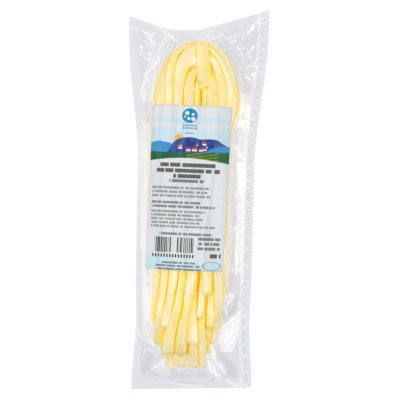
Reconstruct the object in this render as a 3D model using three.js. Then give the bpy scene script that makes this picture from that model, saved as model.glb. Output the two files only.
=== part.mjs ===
// A hank of cheese strings, folded over at the top and sealed under vacuum in a clear
// pouch with a label on the front. The pouch lies on its back. X runs across it, Y from the
// strings' cut ends to their folded loops, and Z up. The origin is on the table, under the
// middle of the pouch. Lengths are in millimetres.
import * as THREE from "three";

// The pouch, sealed flat all round.
const POUCH_LENGTH = 300;
const POUCH_WAIST = 91.6; // between the side seals, where the hank draws them in
const POUCH_FLARE = 18.4; // how much wider the pouch is at its top than at its waist
const FILM_FLAP = 0.9; // both films where they lie on each other
const FLAP_HEIGHT = 3.4; // middle of the flaps, above the table
const FLAP_WAVE = { rise: 1.1, start: 20, full: 50, yPitch: 17, xPitch: 29, shift: 0.6 };
const FLARE_START = 25; // where the pouch begins to widen towards its top
const FLARE_END = 132;
const PINCH = { y: -95, reach: 22, depth: 1.2 }; // the side seals draw in beside the cut ends
const FOOT = { start: 105, end: 145, spread: 1.4 }; // and spread again below them

// The pouch's top edge sags between its corners. Each value is below the right corner.
const LEFT_CORNER_DROP = 7;
const VALLEY_DROP = 17.2;
const VALLEY_START = 0.29; // share of the width where the left slope meets the valley
const VALLEY_END = 0.5; // share of the width where the right slope leaves the valley
const VALLEY_ROUNDING = 0.6;
const BOTTOM_RISE = 3; // the bottom edge's right corner, above its left one

// The hank under the film: where its outer strings run, and how thick it is there.
const HANK_STATIONS = [
  { y: -118, left: -27.5, right: 15.5, thick: 10 },
  { y: -95, left: -31, right: 21.5, thick: 14 },
  { y: -58, left: -34, right: 24.5, thick: 17 },
  { y: -10, left: -37.4, right: 25.6, thick: 19.5 },
  { y: 38, left: -37.4, right: 28, thick: 20 },
  { y: 78, left: -34.4, right: 34, thick: 19.5 },
];
const LOOP_HEIGHT = 46; // from the last station to the crest of the loops
const END_LENGTH = 15; // how far the cut ends reach beyond the first station
const STRING_LANES = 9; // strings side by side in the top layer
const STRING_RELIEF = 1.5; // depth of the groove between two strings
const SOLE_SHARE = 0.72; // share of the hank's width that lies flat on the table
const SOLE_END = 1.12; // share where the back film has risen to the flaps
const CROWN = { across: 2.6, up: 0.6 }; // powers that shape the hank's domed top
const RELIEF_FADE = 6; // how fast the relief fades at the hank's outline

// The film comes down from the hank to the flaps in a short skirt.
const SKIRT = { share: 0.22, reach: 4.5, slope: 0.0001 };

// The string that ties the loops: a flat band over the crest.
const TIE = { x: 3.8, width: 10.4, bottom: 92, rise: 1.6, shoulder: 1 };

// The label on the front film.
const LABEL = { x: -5.4, y: 9.8, width: 61.6, height: 130, tilt: 1 };
const LABEL_THICKNESS = 0.4;
const LABEL_GAP = 0.35;
const LABEL_STIFFNESS = 1.2; // the label bridges hollows narrower than twice this
const LABEL_FADE = 3; // the film turns from smooth to ribbed this far outside the label
const LABEL_OVERREACH = 5; // the smooth film's length beyond the label's ends

// Facets.
const FLAP_COLUMNS = 4; // on each side of the hank
const HANK_COLUMNS = 27; // three to a string
const POUCH_ROWS = 50;
const LABEL_COLUMNS = 18;
const LABEL_ROWS = 22;

const { clamp, smoothstep, lerp, degToRad } = THREE.MathUtils;
const HALF_LENGTH = POUCH_LENGTH / 2;
const LOOP_START = HANK_STATIONS.at(-1).y;
const ENDS_START = HANK_STATIONS[0].y;

const stationHeights = HANK_STATIONS.map((station) => station.y);
const stationSizes = HANK_STATIONS.flatMap(({ left, right, thick }) => [left, right, thick]);
const stationCurve = new THREE.CubicInterpolant(stationHeights, stationSizes, 3);

/** The hank's cross-section at y: its middle, half its width, and its thickness. */
function hankSection(y) {
  const [left, right, thick] = stationCurve.evaluate(clamp(y, ENDS_START, LOOP_START));
  return { middle: (left + right) / 2, half: (right - left) / 2, thick };
}

/** Where a point lies in the hank: 0 on its middle line, 1 on its outline, more outside. */
function hankShare(x, y) {
  const { middle, half } = hankSection(y);
  const across = Math.abs(x - middle) / half;
  if (y > LOOP_START) return Math.hypot(across, (y - LOOP_START) / LOOP_HEIGHT);
  const beyondEnds = Math.max(0, ENDS_START - y) / END_LENGTH;
  return Math.hypot(across ** 2, beyondEnds ** 2) ** 0.5;
}

/** Height of the flaps' middle, which wave a little towards the pouch's edges. */
function flapHeight(x, y) {
  const { rise, start, full, yPitch, xPitch, shift } = FLAP_WAVE;
  const wave = Math.sin(y / yPitch + Math.sign(x) * shift) * Math.sin(x / xPitch + shift);
  return FLAP_HEIGHT + rise * wave * smoothstep(Math.abs(x), start, full);
}

/** 1 under the label, where the film lies smooth, and 0 away from it. */
function underLabel(x, y) {
  const inX = LABEL.width / 2 + LABEL_FADE - Math.abs(x - LABEL.x);
  const inY = LABEL.height / 2 + LABEL_OVERREACH - Math.abs(y - LABEL.y);
  return smoothstep(inX, 0, LABEL_FADE) * smoothstep(inY, 0, LABEL_FADE);
}

/** How far the grooves between strings sink the film at a point. */
function grooveDepth(x, y) {
  const { middle } = hankSection(y);
  const lane = Math.sign(x - middle) * hankShare(x, y) * (STRING_LANES / 2) + 0.5;
  const offCrest = Math.abs(lane - Math.round(lane)) * 2;
  return STRING_RELIEF * offCrest ** 2;
}

/** How far the tie lifts the film at a point. */
function tieRise(x, y) {
  const inX = TIE.width / 2 + TIE.shoulder - Math.abs(x - TIE.x);
  const inY = y - TIE.bottom + 2 * TIE.shoulder;
  const across = smoothstep(inX, 0, 2 * TIE.shoulder);
  return TIE.rise * across * smoothstep(inY, 0, 4 * TIE.shoulder);
}

/** Top of the hank under its film, with no grooves. */
function crownHeight(x, y) {
  const share = hankShare(x, y);
  const base = flapHeight(x, y) + FILM_FLAP / 2;
  const { thick, half } = hankSection(y);
  const skirt = SKIRT.share * Math.exp(-Math.max(0, share - 1) * (half / SKIRT.reach));
  const dome = share < 1 ? (1 - share ** CROWN.across) ** CROWN.up : 0;
  return base + (thick - base) * Math.max(dome, skirt - SKIRT.slope * share);
}

/** The pouch's front face. */
function frontHeight(x, y) {
  const inside = clamp((1 - hankShare(x, y)) * RELIEF_FADE, 0, 1);
  const relief = tieRise(x, y) - grooveDepth(x, y) * (1 - underLabel(x, y));
  return crownHeight(x, y) + relief * inside;
}

/** The pouch's back face: flat under the hank, and rising to the flaps around it. */
function backHeight(x, y) {
  const lift = smoothstep(hankShare(x, y), SOLE_SHARE, SOLE_END);
  return (flapHeight(x, y) - FILM_FLAP / 2) * lift;
}

/** Half the pouch's width between its side seals. */
function pouchHalfWidth(y) {
  const flare = (POUCH_FLARE / 2) * smoothstep(y, FLARE_START, FLARE_END);
  const pinch = PINCH.depth * Math.exp(-(((y - PINCH.y) / PINCH.reach) ** 2));
  return POUCH_WAIST / 2 + flare - pinch + FOOT.spread * smoothstep(-y, FOOT.start, FOOT.end);
}

/** The largest of some values, with the corners between them rounded. */
function roundedMax(...values) {
  const sum = values.reduce((total, value) => total + Math.exp(value / VALLEY_ROUNDING), 0);
  return VALLEY_ROUNDING * Math.log(sum);
}

/** The pouch's top edge at a share of the width from the left. */
function topEdge(share) {
  const leftSlope = (VALLEY_DROP - LEFT_CORNER_DROP) / VALLEY_START;
  const rightSlope = VALLEY_DROP / (1 - VALLEY_END);
  const drop = -roundedMax(
    -LEFT_CORNER_DROP - leftSlope * share,
    -VALLEY_DROP,
    -rightSlope * (1 - share),
  );
  return HALF_LENGTH - drop;
}

/** The pouch's bottom edge at a share of the width from the left. */
function bottomEdge(share) {
  return -HALF_LENGTH + BOTTOM_RISE * share;
}

/** A closed block of facets, with each corner put where shape(u, v, onTop) says. */
function shapedBlock(columns, rows, shape) {
  const geometry = new THREE.BoxGeometry(1, 1, 1, columns, rows, 1);
  const corners = geometry.attributes.position;
  for (let i = 0; i < corners.count; i++) {
    const u = corners.getX(i) + 0.5;
    const v = corners.getY(i) + 0.5;
    corners.setXYZ(i, ...shape(u, v, corners.getZ(i) > 0));
  }
  geometry.computeVertexNormals();
  return geometry;
}

/** X of one of the pouch's columns: over the hank they follow its strings. */
function columnX(column, y) {
  const { middle, half } = hankSection(y);
  const edge = pouchHalfWidth(y);
  const intoHank = column - FLAP_COLUMNS;
  if (intoHank < 0) return lerp(middle - half, -edge, -intoHank / FLAP_COLUMNS);
  const pastHank = intoHank - HANK_COLUMNS;
  if (pastHank > 0) return lerp(middle + half, edge, pastHank / FLAP_COLUMNS);
  return middle + half * ((2 * intoHank) / HANK_COLUMNS - 1);
}

/** The sealed pouch with the hank in it, as one solid. */
function makePouch() {
  const columns = HANK_COLUMNS + 2 * FLAP_COLUMNS;
  return shapedBlock(columns, POUCH_ROWS, (u, v, onTop) => {
    const column = Math.round(u * columns);
    const straight = lerp(-HALF_LENGTH, HALF_LENGTH, v);
    const share = columnX(column, straight) / (2 * pouchHalfWidth(straight)) + 0.5;
    const y = lerp(bottomEdge(share), topEdge(share), v);
    const x = columnX(column, y);
    return [x, y, onTop ? frontHeight(x, y) : backHeight(x, y)];
  });
}

/** Height of a stiff sheet laid over the crown: the highest point within its stiffness. */
function bridgedHeight(x, y) {
  const reaches = [-LABEL_STIFFNESS, 0, LABEL_STIFFNESS];
  const around = reaches.flatMap((dx) => reaches.map((dy) => crownHeight(x + dx, y + dy)));
  return Math.max(...around);
}

/** The label, a thin sheet that follows the front of the pouch. */
function makeLabel() {
  const turn = degToRad(LABEL.tilt);
  return shapedBlock(LABEL_COLUMNS, LABEL_ROWS, (u, v, onTop) => {
    const across = (u - 0.5) * LABEL.width;
    const up = (v - 0.5) * LABEL.height;
    const x = LABEL.x + across * Math.cos(turn) + up * Math.sin(turn);
    const y = LABEL.y - across * Math.sin(turn) + up * Math.cos(turn);
    const underside = bridgedHeight(x, y) + LABEL_GAP;
    return [x, y, underside + (onTop ? LABEL_THICKNESS : 0)];
  });
}

/** A named piece in its own plain finish. */
function piece(name, geometry, color, roughness) {
  const mesh = new THREE.Mesh(
    geometry,
    new THREE.MeshStandardMaterial({ color, roughness, metalness: 0 }),
  );
  mesh.name = name;
  return mesh;
}

const pack = new THREE.Group();
pack.add(piece("pouch", makePouch(), 0xfbe9b0, 0.25));
pack.add(piece("label", makeLabel(), 0xdde6ec, 0.45));

export default pack;
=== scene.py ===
"""A vacuum pack of cheese strings: a folded, tied hank in a clear pouch, with a label.

The pack lies on its back. X runs across it, Y from the strings' cut ends to their folded
loops, and Z up. The sizes in this file are in millimetres, and become metres where a mesh
or a light takes its place.
"""

import functools
import itertools
import logging
import math
from dataclasses import dataclass, field
from enum import Enum
from typing import Iterable, Optional, Sequence, Union

import bmesh
import bpy
import numpy as np
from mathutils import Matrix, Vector, noise
from mathutils.bvhtree import BVHTree

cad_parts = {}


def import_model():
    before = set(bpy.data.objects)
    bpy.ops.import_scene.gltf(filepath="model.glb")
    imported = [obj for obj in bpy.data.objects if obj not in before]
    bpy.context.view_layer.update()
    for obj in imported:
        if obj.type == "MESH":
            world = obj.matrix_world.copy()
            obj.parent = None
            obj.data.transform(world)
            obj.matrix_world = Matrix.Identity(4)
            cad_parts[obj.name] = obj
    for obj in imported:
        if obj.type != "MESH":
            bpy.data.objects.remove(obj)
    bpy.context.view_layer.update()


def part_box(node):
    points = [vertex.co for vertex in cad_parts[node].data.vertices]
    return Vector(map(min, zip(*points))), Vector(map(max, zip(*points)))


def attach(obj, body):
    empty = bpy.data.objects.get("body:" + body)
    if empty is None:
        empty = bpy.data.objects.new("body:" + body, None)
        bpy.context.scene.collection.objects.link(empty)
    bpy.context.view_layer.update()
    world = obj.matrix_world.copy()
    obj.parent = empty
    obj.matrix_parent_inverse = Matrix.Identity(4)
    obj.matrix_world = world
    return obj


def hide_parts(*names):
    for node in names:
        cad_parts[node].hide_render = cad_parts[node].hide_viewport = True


MM = 0.001
BODY = "root"
STRING_SQUARENESS = 3.8  # 2 is round; more is flatter on top with rounded edges
log = logging.getLogger("cheese_strings")

Array = np.ndarray
Socket = bpy.types.NodeSocket
Colour = tuple[float, float, float, float]
Value = Union[float, Colour, Socket]
Point2 = tuple[float, float]
Point3 = tuple[float, float, float]
Line = tuple[Point2, ...]


# ---------------------------------------------------------------- small sums


def smoothstep(value: Array, low: float, high: float) -> Array:
    """A smooth rise from 0 at low to 1 at high."""
    share = np.clip((value - low) / (high - low), 0.0, 1.0)
    return share * share * (3.0 - 2.0 * share)


def quarter_round(share: Array) -> Array:
    """A rise from 0 to 1 round a quarter of a circle, as the share goes from 0 to 1."""
    return np.sqrt(1.0 - (1.0 - np.clip(share, 0.0, 1.0)) ** 2)


def noise_at(x: Array, y: Array, z: Union[Array, float] = 0.0) -> Array:
    """Smooth noise, from -1 to 1, at each point of some arrays.

    Args:
        x: First coordinates, in periods of the noise.
        y: Second coordinates.
        z: Third coordinates, or one for all.

    Returns:
        The noise, in the shape of x.
    """
    x, y, z = np.broadcast_arrays(x, y, z)
    points = zip(x.ravel().tolist(), y.ravel().tolist(), z.ravel().tolist())
    return np.array([noise.noise(Vector(point)) for point in points]).reshape(x.shape)


def paint(red: int, green: int, blue: int) -> Colour:
    """A colour as shown on a screen, from 0 to 255, as the linear colour that nodes take."""
    shares = [value / 255 for value in (red, green, blue)]
    linear = [s / 12.92 if s <= 0.04045 else ((s + 0.055) / 1.055) ** 2.4 for s in shares]
    return (*linear, 1.0)


# ---------------------------------------------------------------- finishes


class NodeBench:
    """Adds and joins the nodes of one material."""

    def __init__(self, name: str) -> None:
        """Starts an empty material.

        Args:
            name: The material's name.
        """
        self.material = bpy.data.materials.new(name)
        self.material.use_nodes = True
        self.tree = self.material.node_tree
        self.tree.nodes.clear()

    def join(self, value: Value, socket: Socket) -> None:
        """Sets a socket to a number or colour, or links another node's output to it."""
        if isinstance(value, bpy.types.NodeSocket):
            self.tree.links.new(value, socket)
        else:
            socket.default_value = value

    def node(self, kind: str, inputs: Optional[dict] = None, **settings: object) -> bpy.types.Node:
        """Adds a node.

        Args:
            kind: The node's type, without ShaderNode.
            inputs: A value for each input socket, by its name or number.
            settings: The node's own properties.

        Returns:
            The node.
        """
        made = self.tree.nodes.new("ShaderNode" + kind)
        for name, setting in settings.items():
            setattr(made, name, setting)
        for key, value in (inputs or {}).items():
            self.join(value, made.inputs[key])
        return made

    def math(self, operation: str, *values: Value) -> Socket:
        """The result of one sum on numbers."""
        inputs = dict(enumerate(values))
        return self.node("Math", inputs, operation=operation).outputs[0]

    def times(self, *factors: Value) -> Socket:
        """Some numbers, multiplied from the first to the last."""
        return functools.reduce(functools.partial(self.math, "MULTIPLY"), factors)

    def away(self, value: Value, middle: Value) -> Socket:
        """How far a number lies from a middle one."""
        return self.math("ABSOLUTE", self.math("SUBTRACT", value, middle))

    def distance(self, across: Value, up: Value) -> Socket:
        """The length of a slanted way, from its lengths across and up."""
        return self.math("SQRT", self.math("MULTIPLY_ADD", up, up, self.times(across, across)))

    def attribute(self, name: str, output: str = "Fac") -> Socket:
        """One of the mesh's own attributes."""
        return self.node("Attribute", attribute_name=name).outputs[output]

    def point(self, across: Value, up: Value) -> Socket:
        """A point at two places."""
        return self.node("CombineXYZ", {0: across, 1: up}).outputs[0]

    def mapped(self, point: Value, **change: Point3) -> Socket:
        """A point after a turn or a change of scale."""
        return self.node("Mapping", {"Vector": point, **change}).outputs[0]

    def cloud(self, point: Value, detail: float = 1.0, scale: float = 1.0) -> Socket:
        """Soft noise round 0.5, at a point."""
        return self.node("TexNoise", {"Vector": point, "Scale": scale, "Detail": detail}).outputs[0]

    def stirred(self, value: Value, cloud: Value, amount: float) -> Socket:
        """A number made uneven by a cloud."""
        return self.math("MULTIPLY_ADD", self.math("SUBTRACT", cloud, 0.5), amount, value)

    def blend(self, share: Value, first: Value, second: Value) -> Socket:
        """A colour between two others."""
        inputs = {0: share, 6: first, 7: second}
        return self.node("Mix", inputs, data_type="RGBA").outputs[2]

    def spread(
        self, value: Value, low: float, high: float, to_low: float = 0.0, to_high: float = 1.0
    ) -> Socket:
        """A value stretched from one range to another, and held inside it."""
        inputs = {0: value, 1: low, 2: high, 3: to_low, 4: to_high}
        return self.node("MapRange", inputs).outputs[0]

    def ramp(self, share: Value, stops: Sequence[tuple[float, Colour]]) -> Socket:
        """A colour from a ramp.

        Args:
            share: Where on the ramp, from 0 to 1.
            stops: Each stop's place and colour, in order.

        Returns:
            The colour's socket.
        """
        made = self.node("ValToRGB", {0: share})
        elements = made.color_ramp.elements
        while len(elements) < len(stops):
            elements.new(1.0)
        for element, (place, colour) in zip(elements, stops):
            element.position, element.color = place, colour
        return made.outputs[0]

    def finish(self, shader: Socket) -> bpy.types.Material:
        """Joins the shader to the output and hands over the material."""
        self.node("OutputMaterial", {"Surface": shader})
        return self.material


@dataclass(frozen=True)
class CheeseFinish:
    """Moist young cheese, coloured by depth as painted shade: pale on top, and a deep clear yellow down
    between the strings.
    """

    name: str = "cheese"
    # tones of the painted shade, from the tops of the strings down into the grooves
    milky: Colour = paint(255, 240, 200)
    pale: Colour = paint(254, 231, 166)
    cream: Colour = paint(252, 229, 131)
    yellow: Colour = paint(248, 231, 41)
    deep: Colour = paint(238, 213, 0)
    tone_places: tuple[float, ...] = (0.0, 0.04, 0.24, 0.45, 0.85)  # where on the ramp each tone is full
    depth_scale: float = 1.15
    fibre_scale: Point3 = (1.1, 1.1, 0.05)  # changes in each millimetre, the last along the string
    cloud_scale: Point3 = (0.12, 0.12, 0.035)
    fibre_share: float = 0.3
    cloud_share: float = 0.4
    string_share: float = 0.03  # how much one string's tone differs from the next one's
    least_tone: float = 0.03
    fibre_height: float = 0.25
    roughness: float = 0.42
    glow: float = 0.6
    glow_reach: Point3 = (1.0, 1.0, 0.55)
    glow_scale: float = 2.6
    painted_glow: float = 0.27  # painted glow: the cheese gives off light in its own colour everywhere, standing in for light that has come through the strings on both sides

    def material(self) -> bpy.types.Material:
        """Makes the material.

        Returns:
            The cheese's material. It reads how deep a point lies between the strings, which it
            paints as shade in the grooves, and the direction of the fibres, from the mesh.
        """
        bench = NodeBench(self.name)
        grain = bench.attribute("grain", "Vector")
        fibres = bench.cloud(bench.mapped(grain, Scale=self.fibre_scale), 3.0)
        clouds = bench.cloud(bench.mapped(grain, Scale=self.cloud_scale), 2.0)
        # painted shade: the deeper a point lies between the strings, the deeper its yellow
        tone = bench.math("DIVIDE", bench.attribute("sunk"), self.depth_scale)
        tone = bench.stirred(tone, clouds, self.cloud_share)
        tone = bench.stirred(tone, fibres, self.fibre_share)
        tone = bench.math("ADD", tone, self.least_tone)
        tone = bench.math("MULTIPLY_ADD", bench.attribute("tone"), self.string_share, tone)
        tones = (self.milky, self.pale, self.cream, self.yellow, self.deep)
        colour = bench.ramp(tone, list(zip(self.tone_places, tones)))
        relief = bench.node("Bump", {"Height": fibres, "Strength": 0.5, "Distance": self.fibre_height * MM})
        shader = bench.node(
            "BsdfPrincipled",
            {
                "Base Color": colour,
                "Roughness": self.roughness,
                "Subsurface Weight": self.glow,
                "Subsurface Radius": self.glow_reach,
                "Subsurface Scale": self.glow_scale * MM,
                # painted glow: emission in the cheese's own colour
                "Emission Color": colour,
                "Emission Strength": self.painted_glow,
                "Normal": relief.outputs[0],
            },
        )
        return bench.finish(shader.outputs[0])


@dataclass(frozen=True)
class Wrinkles:
    """One size of sharp wrinkle in the film, in millimetres and degrees."""

    period: Point2
    turn: float
    height: float


@dataclass(frozen=True)
class FilmFinish:
    """Clear film: a faint cool tint with painted highlights and painted shade on its folds, and a gloss that
    grows towards grazing angles.

    A band is given by how far its middle lies inside the right edge, and by half its width.
    """

    name: str = "film"
    tint: Colour = (0.886, 0.889, 0.909, 1.0)
    welded_tint: Colour = (0.925, 0.926, 0.94, 1.0)
    welded_band: Point2 = (7.9, 1.7)
    least_gloss: float = 0.032
    most_gloss: float = 0.6
    gloss_margin: Point2 = (0.3, 1.4)  # how far inside the rim the gloss sets in, and is full
    edge_power: float = 1.8
    roughness: float = 0.1
    ray_height: float = 1.3
    ray_middle: Point2 = (-5.0, 88.0)
    ray_count: float = 6.5  # rays in each radian
    ray_waver: float = 16.0  # changes in each metre along a ray
    ray_start: Point2 = (92.0, 112.0)  # where along the pack they set in, and are full
    bead_height: float = 0.7
    bead_pitch: float = 2.9
    bead_band: Point2 = (4.4, 1.5)
    bead_relief_band: Point2 = (4.6, 1.6)
    bead_patches: float = 45.0  # changes in each metre between full beads and pressed ones
    bead_tints: tuple[Colour, Colour] = ((0.915, 0.918, 0.934, 1.0), (0.82, 0.828, 0.865, 1.0))
    # painted highlight and painted shade: the tint is blended to these on the folds
    lit_tint: Colour = (1.0, 1.0, 1.0, 1.0)
    lit_start: Point2 = (0.05, 0.35)  # how strong a fold's painted highlight is where it loses gloss, and has lost it
    lit_gloss: float = 0.45  # folds with a painted highlight are pale all over and glint less, by this share
    shaded_tint: Colour = (0.8, 0.8, 0.835, 1.0)
    loose_start: Point2 = (0.2, 0.9)  # how loose the film is where its gloss sets in, and is full
    held_gloss: float = 0.35  # film that clings to the wet cheese shines less, by this share
    wrinkles: tuple[Wrinkles, ...] = (
        Wrinkles((13.0, 38.0), 8.0, 0.9),
        Wrinkles((10.0, 20.0), -24.0, 0.45),
        Wrinkles((4.5, 10.0), 33.0, 0.06),
    )

    def material(self) -> bpy.types.Material:
        """Makes the material.

        Returns:
            The film's material. It reads how loose the film is, the painted highlights and shade
            of its folds, and how far each point lies inside the edges, from the mesh.
        """
        bench = NodeBench(self.name)
        relief = self.relief(bench)
        # painted highlights and painted shade of the folds, read from the mesh
        bright = bench.attribute("bright")
        facing = bench.node("LayerWeight", {"Blend": 0.5, "Normal": relief}).outputs["Facing"]
        rise = bench.math("POWER", facing, self.edge_power)
        most = self.most_gloss - self.least_gloss
        edge = bench.spread(bench.attribute("margin"), *self.gloss_margin, 0.0, most)
        bare = bench.math("MULTIPLY_ADD", rise, edge, self.least_gloss)
        loose = bench.spread(bench.attribute("slack"), *self.loose_start, self.held_gloss, 1.0)
        share = bench.times(bare, loose, bench.spread(bright, *self.lit_start, 1.0, self.lit_gloss))
        clear = bench.node("BsdfTransparent", {"Color": self.colour(bench, bright)})
        gloss = bench.node("BsdfGlossy", {"Roughness": self.roughness, "Normal": relief})
        mixed = bench.node("MixShader", {0: share, 1: clear.outputs[0], 2: gloss.outputs[0]})
        return bench.finish(mixed.outputs[0])

    def colour(self, bench: NodeBench, bright: Value) -> Socket:
        """The film's tint, with its seal, its beads, and painted highlights and painted shade on its folds.

        Args:
            bench: The material's nodes.
            bright: The painted highlight on the folds, or below 0, their painted shade.

        Returns:
            The tint's socket.
        """
        tint = bench.blend(self.band(bench, self.welded_band), self.tint, self.welded_tint)
        beads = bench.blend(self.bead_row(bench), *self.bead_tints)
        tint = bench.blend(self.band(bench, self.bead_band), tint, beads)
        # painted highlight towards white, then painted shade towards grey
        tint = bench.blend(bench.spread(bright, 0.0, 1.0), tint, self.lit_tint)
        return bench.blend(bench.spread(bright, 0.0, -1.0), tint, self.shaded_tint)

    def band(self, bench: NodeBench, place: Point2) -> Socket:
        """1 in a band along the right edge, with soft sides."""
        middle, half = place
        return bench.spread(bench.away(bench.attribute("right_inset"), middle), 0.6 * half, half, 1.0, 0.0)

    def bead_row(self, bench: NodeBench) -> Socket:
        """1 on a slanted row of beads, with gaps where they are pressed flat.

        Args:
            bench: The material's nodes.

        Returns:
            The mask's socket.
        """
        along = bench.node("SeparateXYZ", {0: bench.node("TexCoord").outputs["Object"]}).outputs[1]
        step = bench.math("MULTIPLY_ADD", along, 1 / MM, bench.attribute("right_inset"))
        row = bench.math("SINE", bench.times(step, 2 * math.pi / self.bead_pitch))
        patch = {"W": bench.times(along, self.bead_patches), "Detail": 0.0}
        patches = bench.node("TexNoise", patch, noise_dimensions="1D").outputs[0]
        return bench.times(bench.spread(row, 0.0, 0.6), bench.spread(patches, 0.36, 0.5))

    def fold(self, bench: NodeBench, place: Value) -> Socket:
        """Sharp folds: 0 on their ridges, and more beside them."""
        return bench.away(bench.cloud(place), 0.5)

    def relief(self, bench: NodeBench) -> Socket:
        """The film's normal, with sharp wrinkles where it is loose and beads in the right seal.

        Args:
            bench: The material's nodes.

        Returns:
            The normal's socket.
        """
        place = bench.node("TexCoord").outputs["Object"]
        heights: Value = 0.0
        for wrinkles in self.wrinkles:
            turned = bench.mapped(place, Rotation=(0.0, 0.0, math.radians(wrinkles.turn)))
            across, along = (1 / period / MM for period in wrinkles.period)
            fold = self.fold(bench, bench.mapped(turned, Scale=(across, along, along)))
            heights = bench.math("MULTIPLY_ADD", fold, -2.0 * wrinkles.height, heights)
        heights = bench.math("ADD", heights, self.rays(bench, place))
        loose = bench.times(heights, bench.attribute("slack"))
        beads = bench.times(self.bead_row(bench), self.band(bench, self.bead_relief_band), self.bead_height)
        return bench.node("Bump", {"Height": bench.math("ADD", loose, beads), "Distance": MM}).outputs[0]

    def rays(self, bench: NodeBench, place: Value) -> Socket:
        """Long thin wrinkles that run out from the folded end of the hank.

        Args:
            bench: The material's nodes.
            place: A point's place on the pack.

        Returns:
            Their height.
        """
        across, along = bench.node("SeparateXYZ", {0: place}).outputs[:2]
        over = bench.math("SUBTRACT", across, self.ray_middle[0] * MM)
        up = bench.math("SUBTRACT", along, self.ray_middle[1] * MM)
        bearing = bench.times(bench.math("ARCTAN2", over, up), self.ray_count)
        reach = bench.times(bench.distance(over, up), self.ray_waver)
        start, full = self.ray_start
        zone = bench.spread(along, start * MM, full * MM)
        return bench.times(self.fold(bench, bench.point(bearing, reach)), zone, -2.0 * self.ray_height)


@dataclass(frozen=True)
class TextBlock:
    """Rows of small dashes that stand for small print. Places are shares of the label."""

    left: float
    right: float
    top: float
    pitch: float
    rows: int
    ragged: float
    seed: float
    centred: bool = False
    ink: float = 0.55
    words: float = 15.0
    height: float = 0.6  # share of the pitch that a row fills


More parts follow.
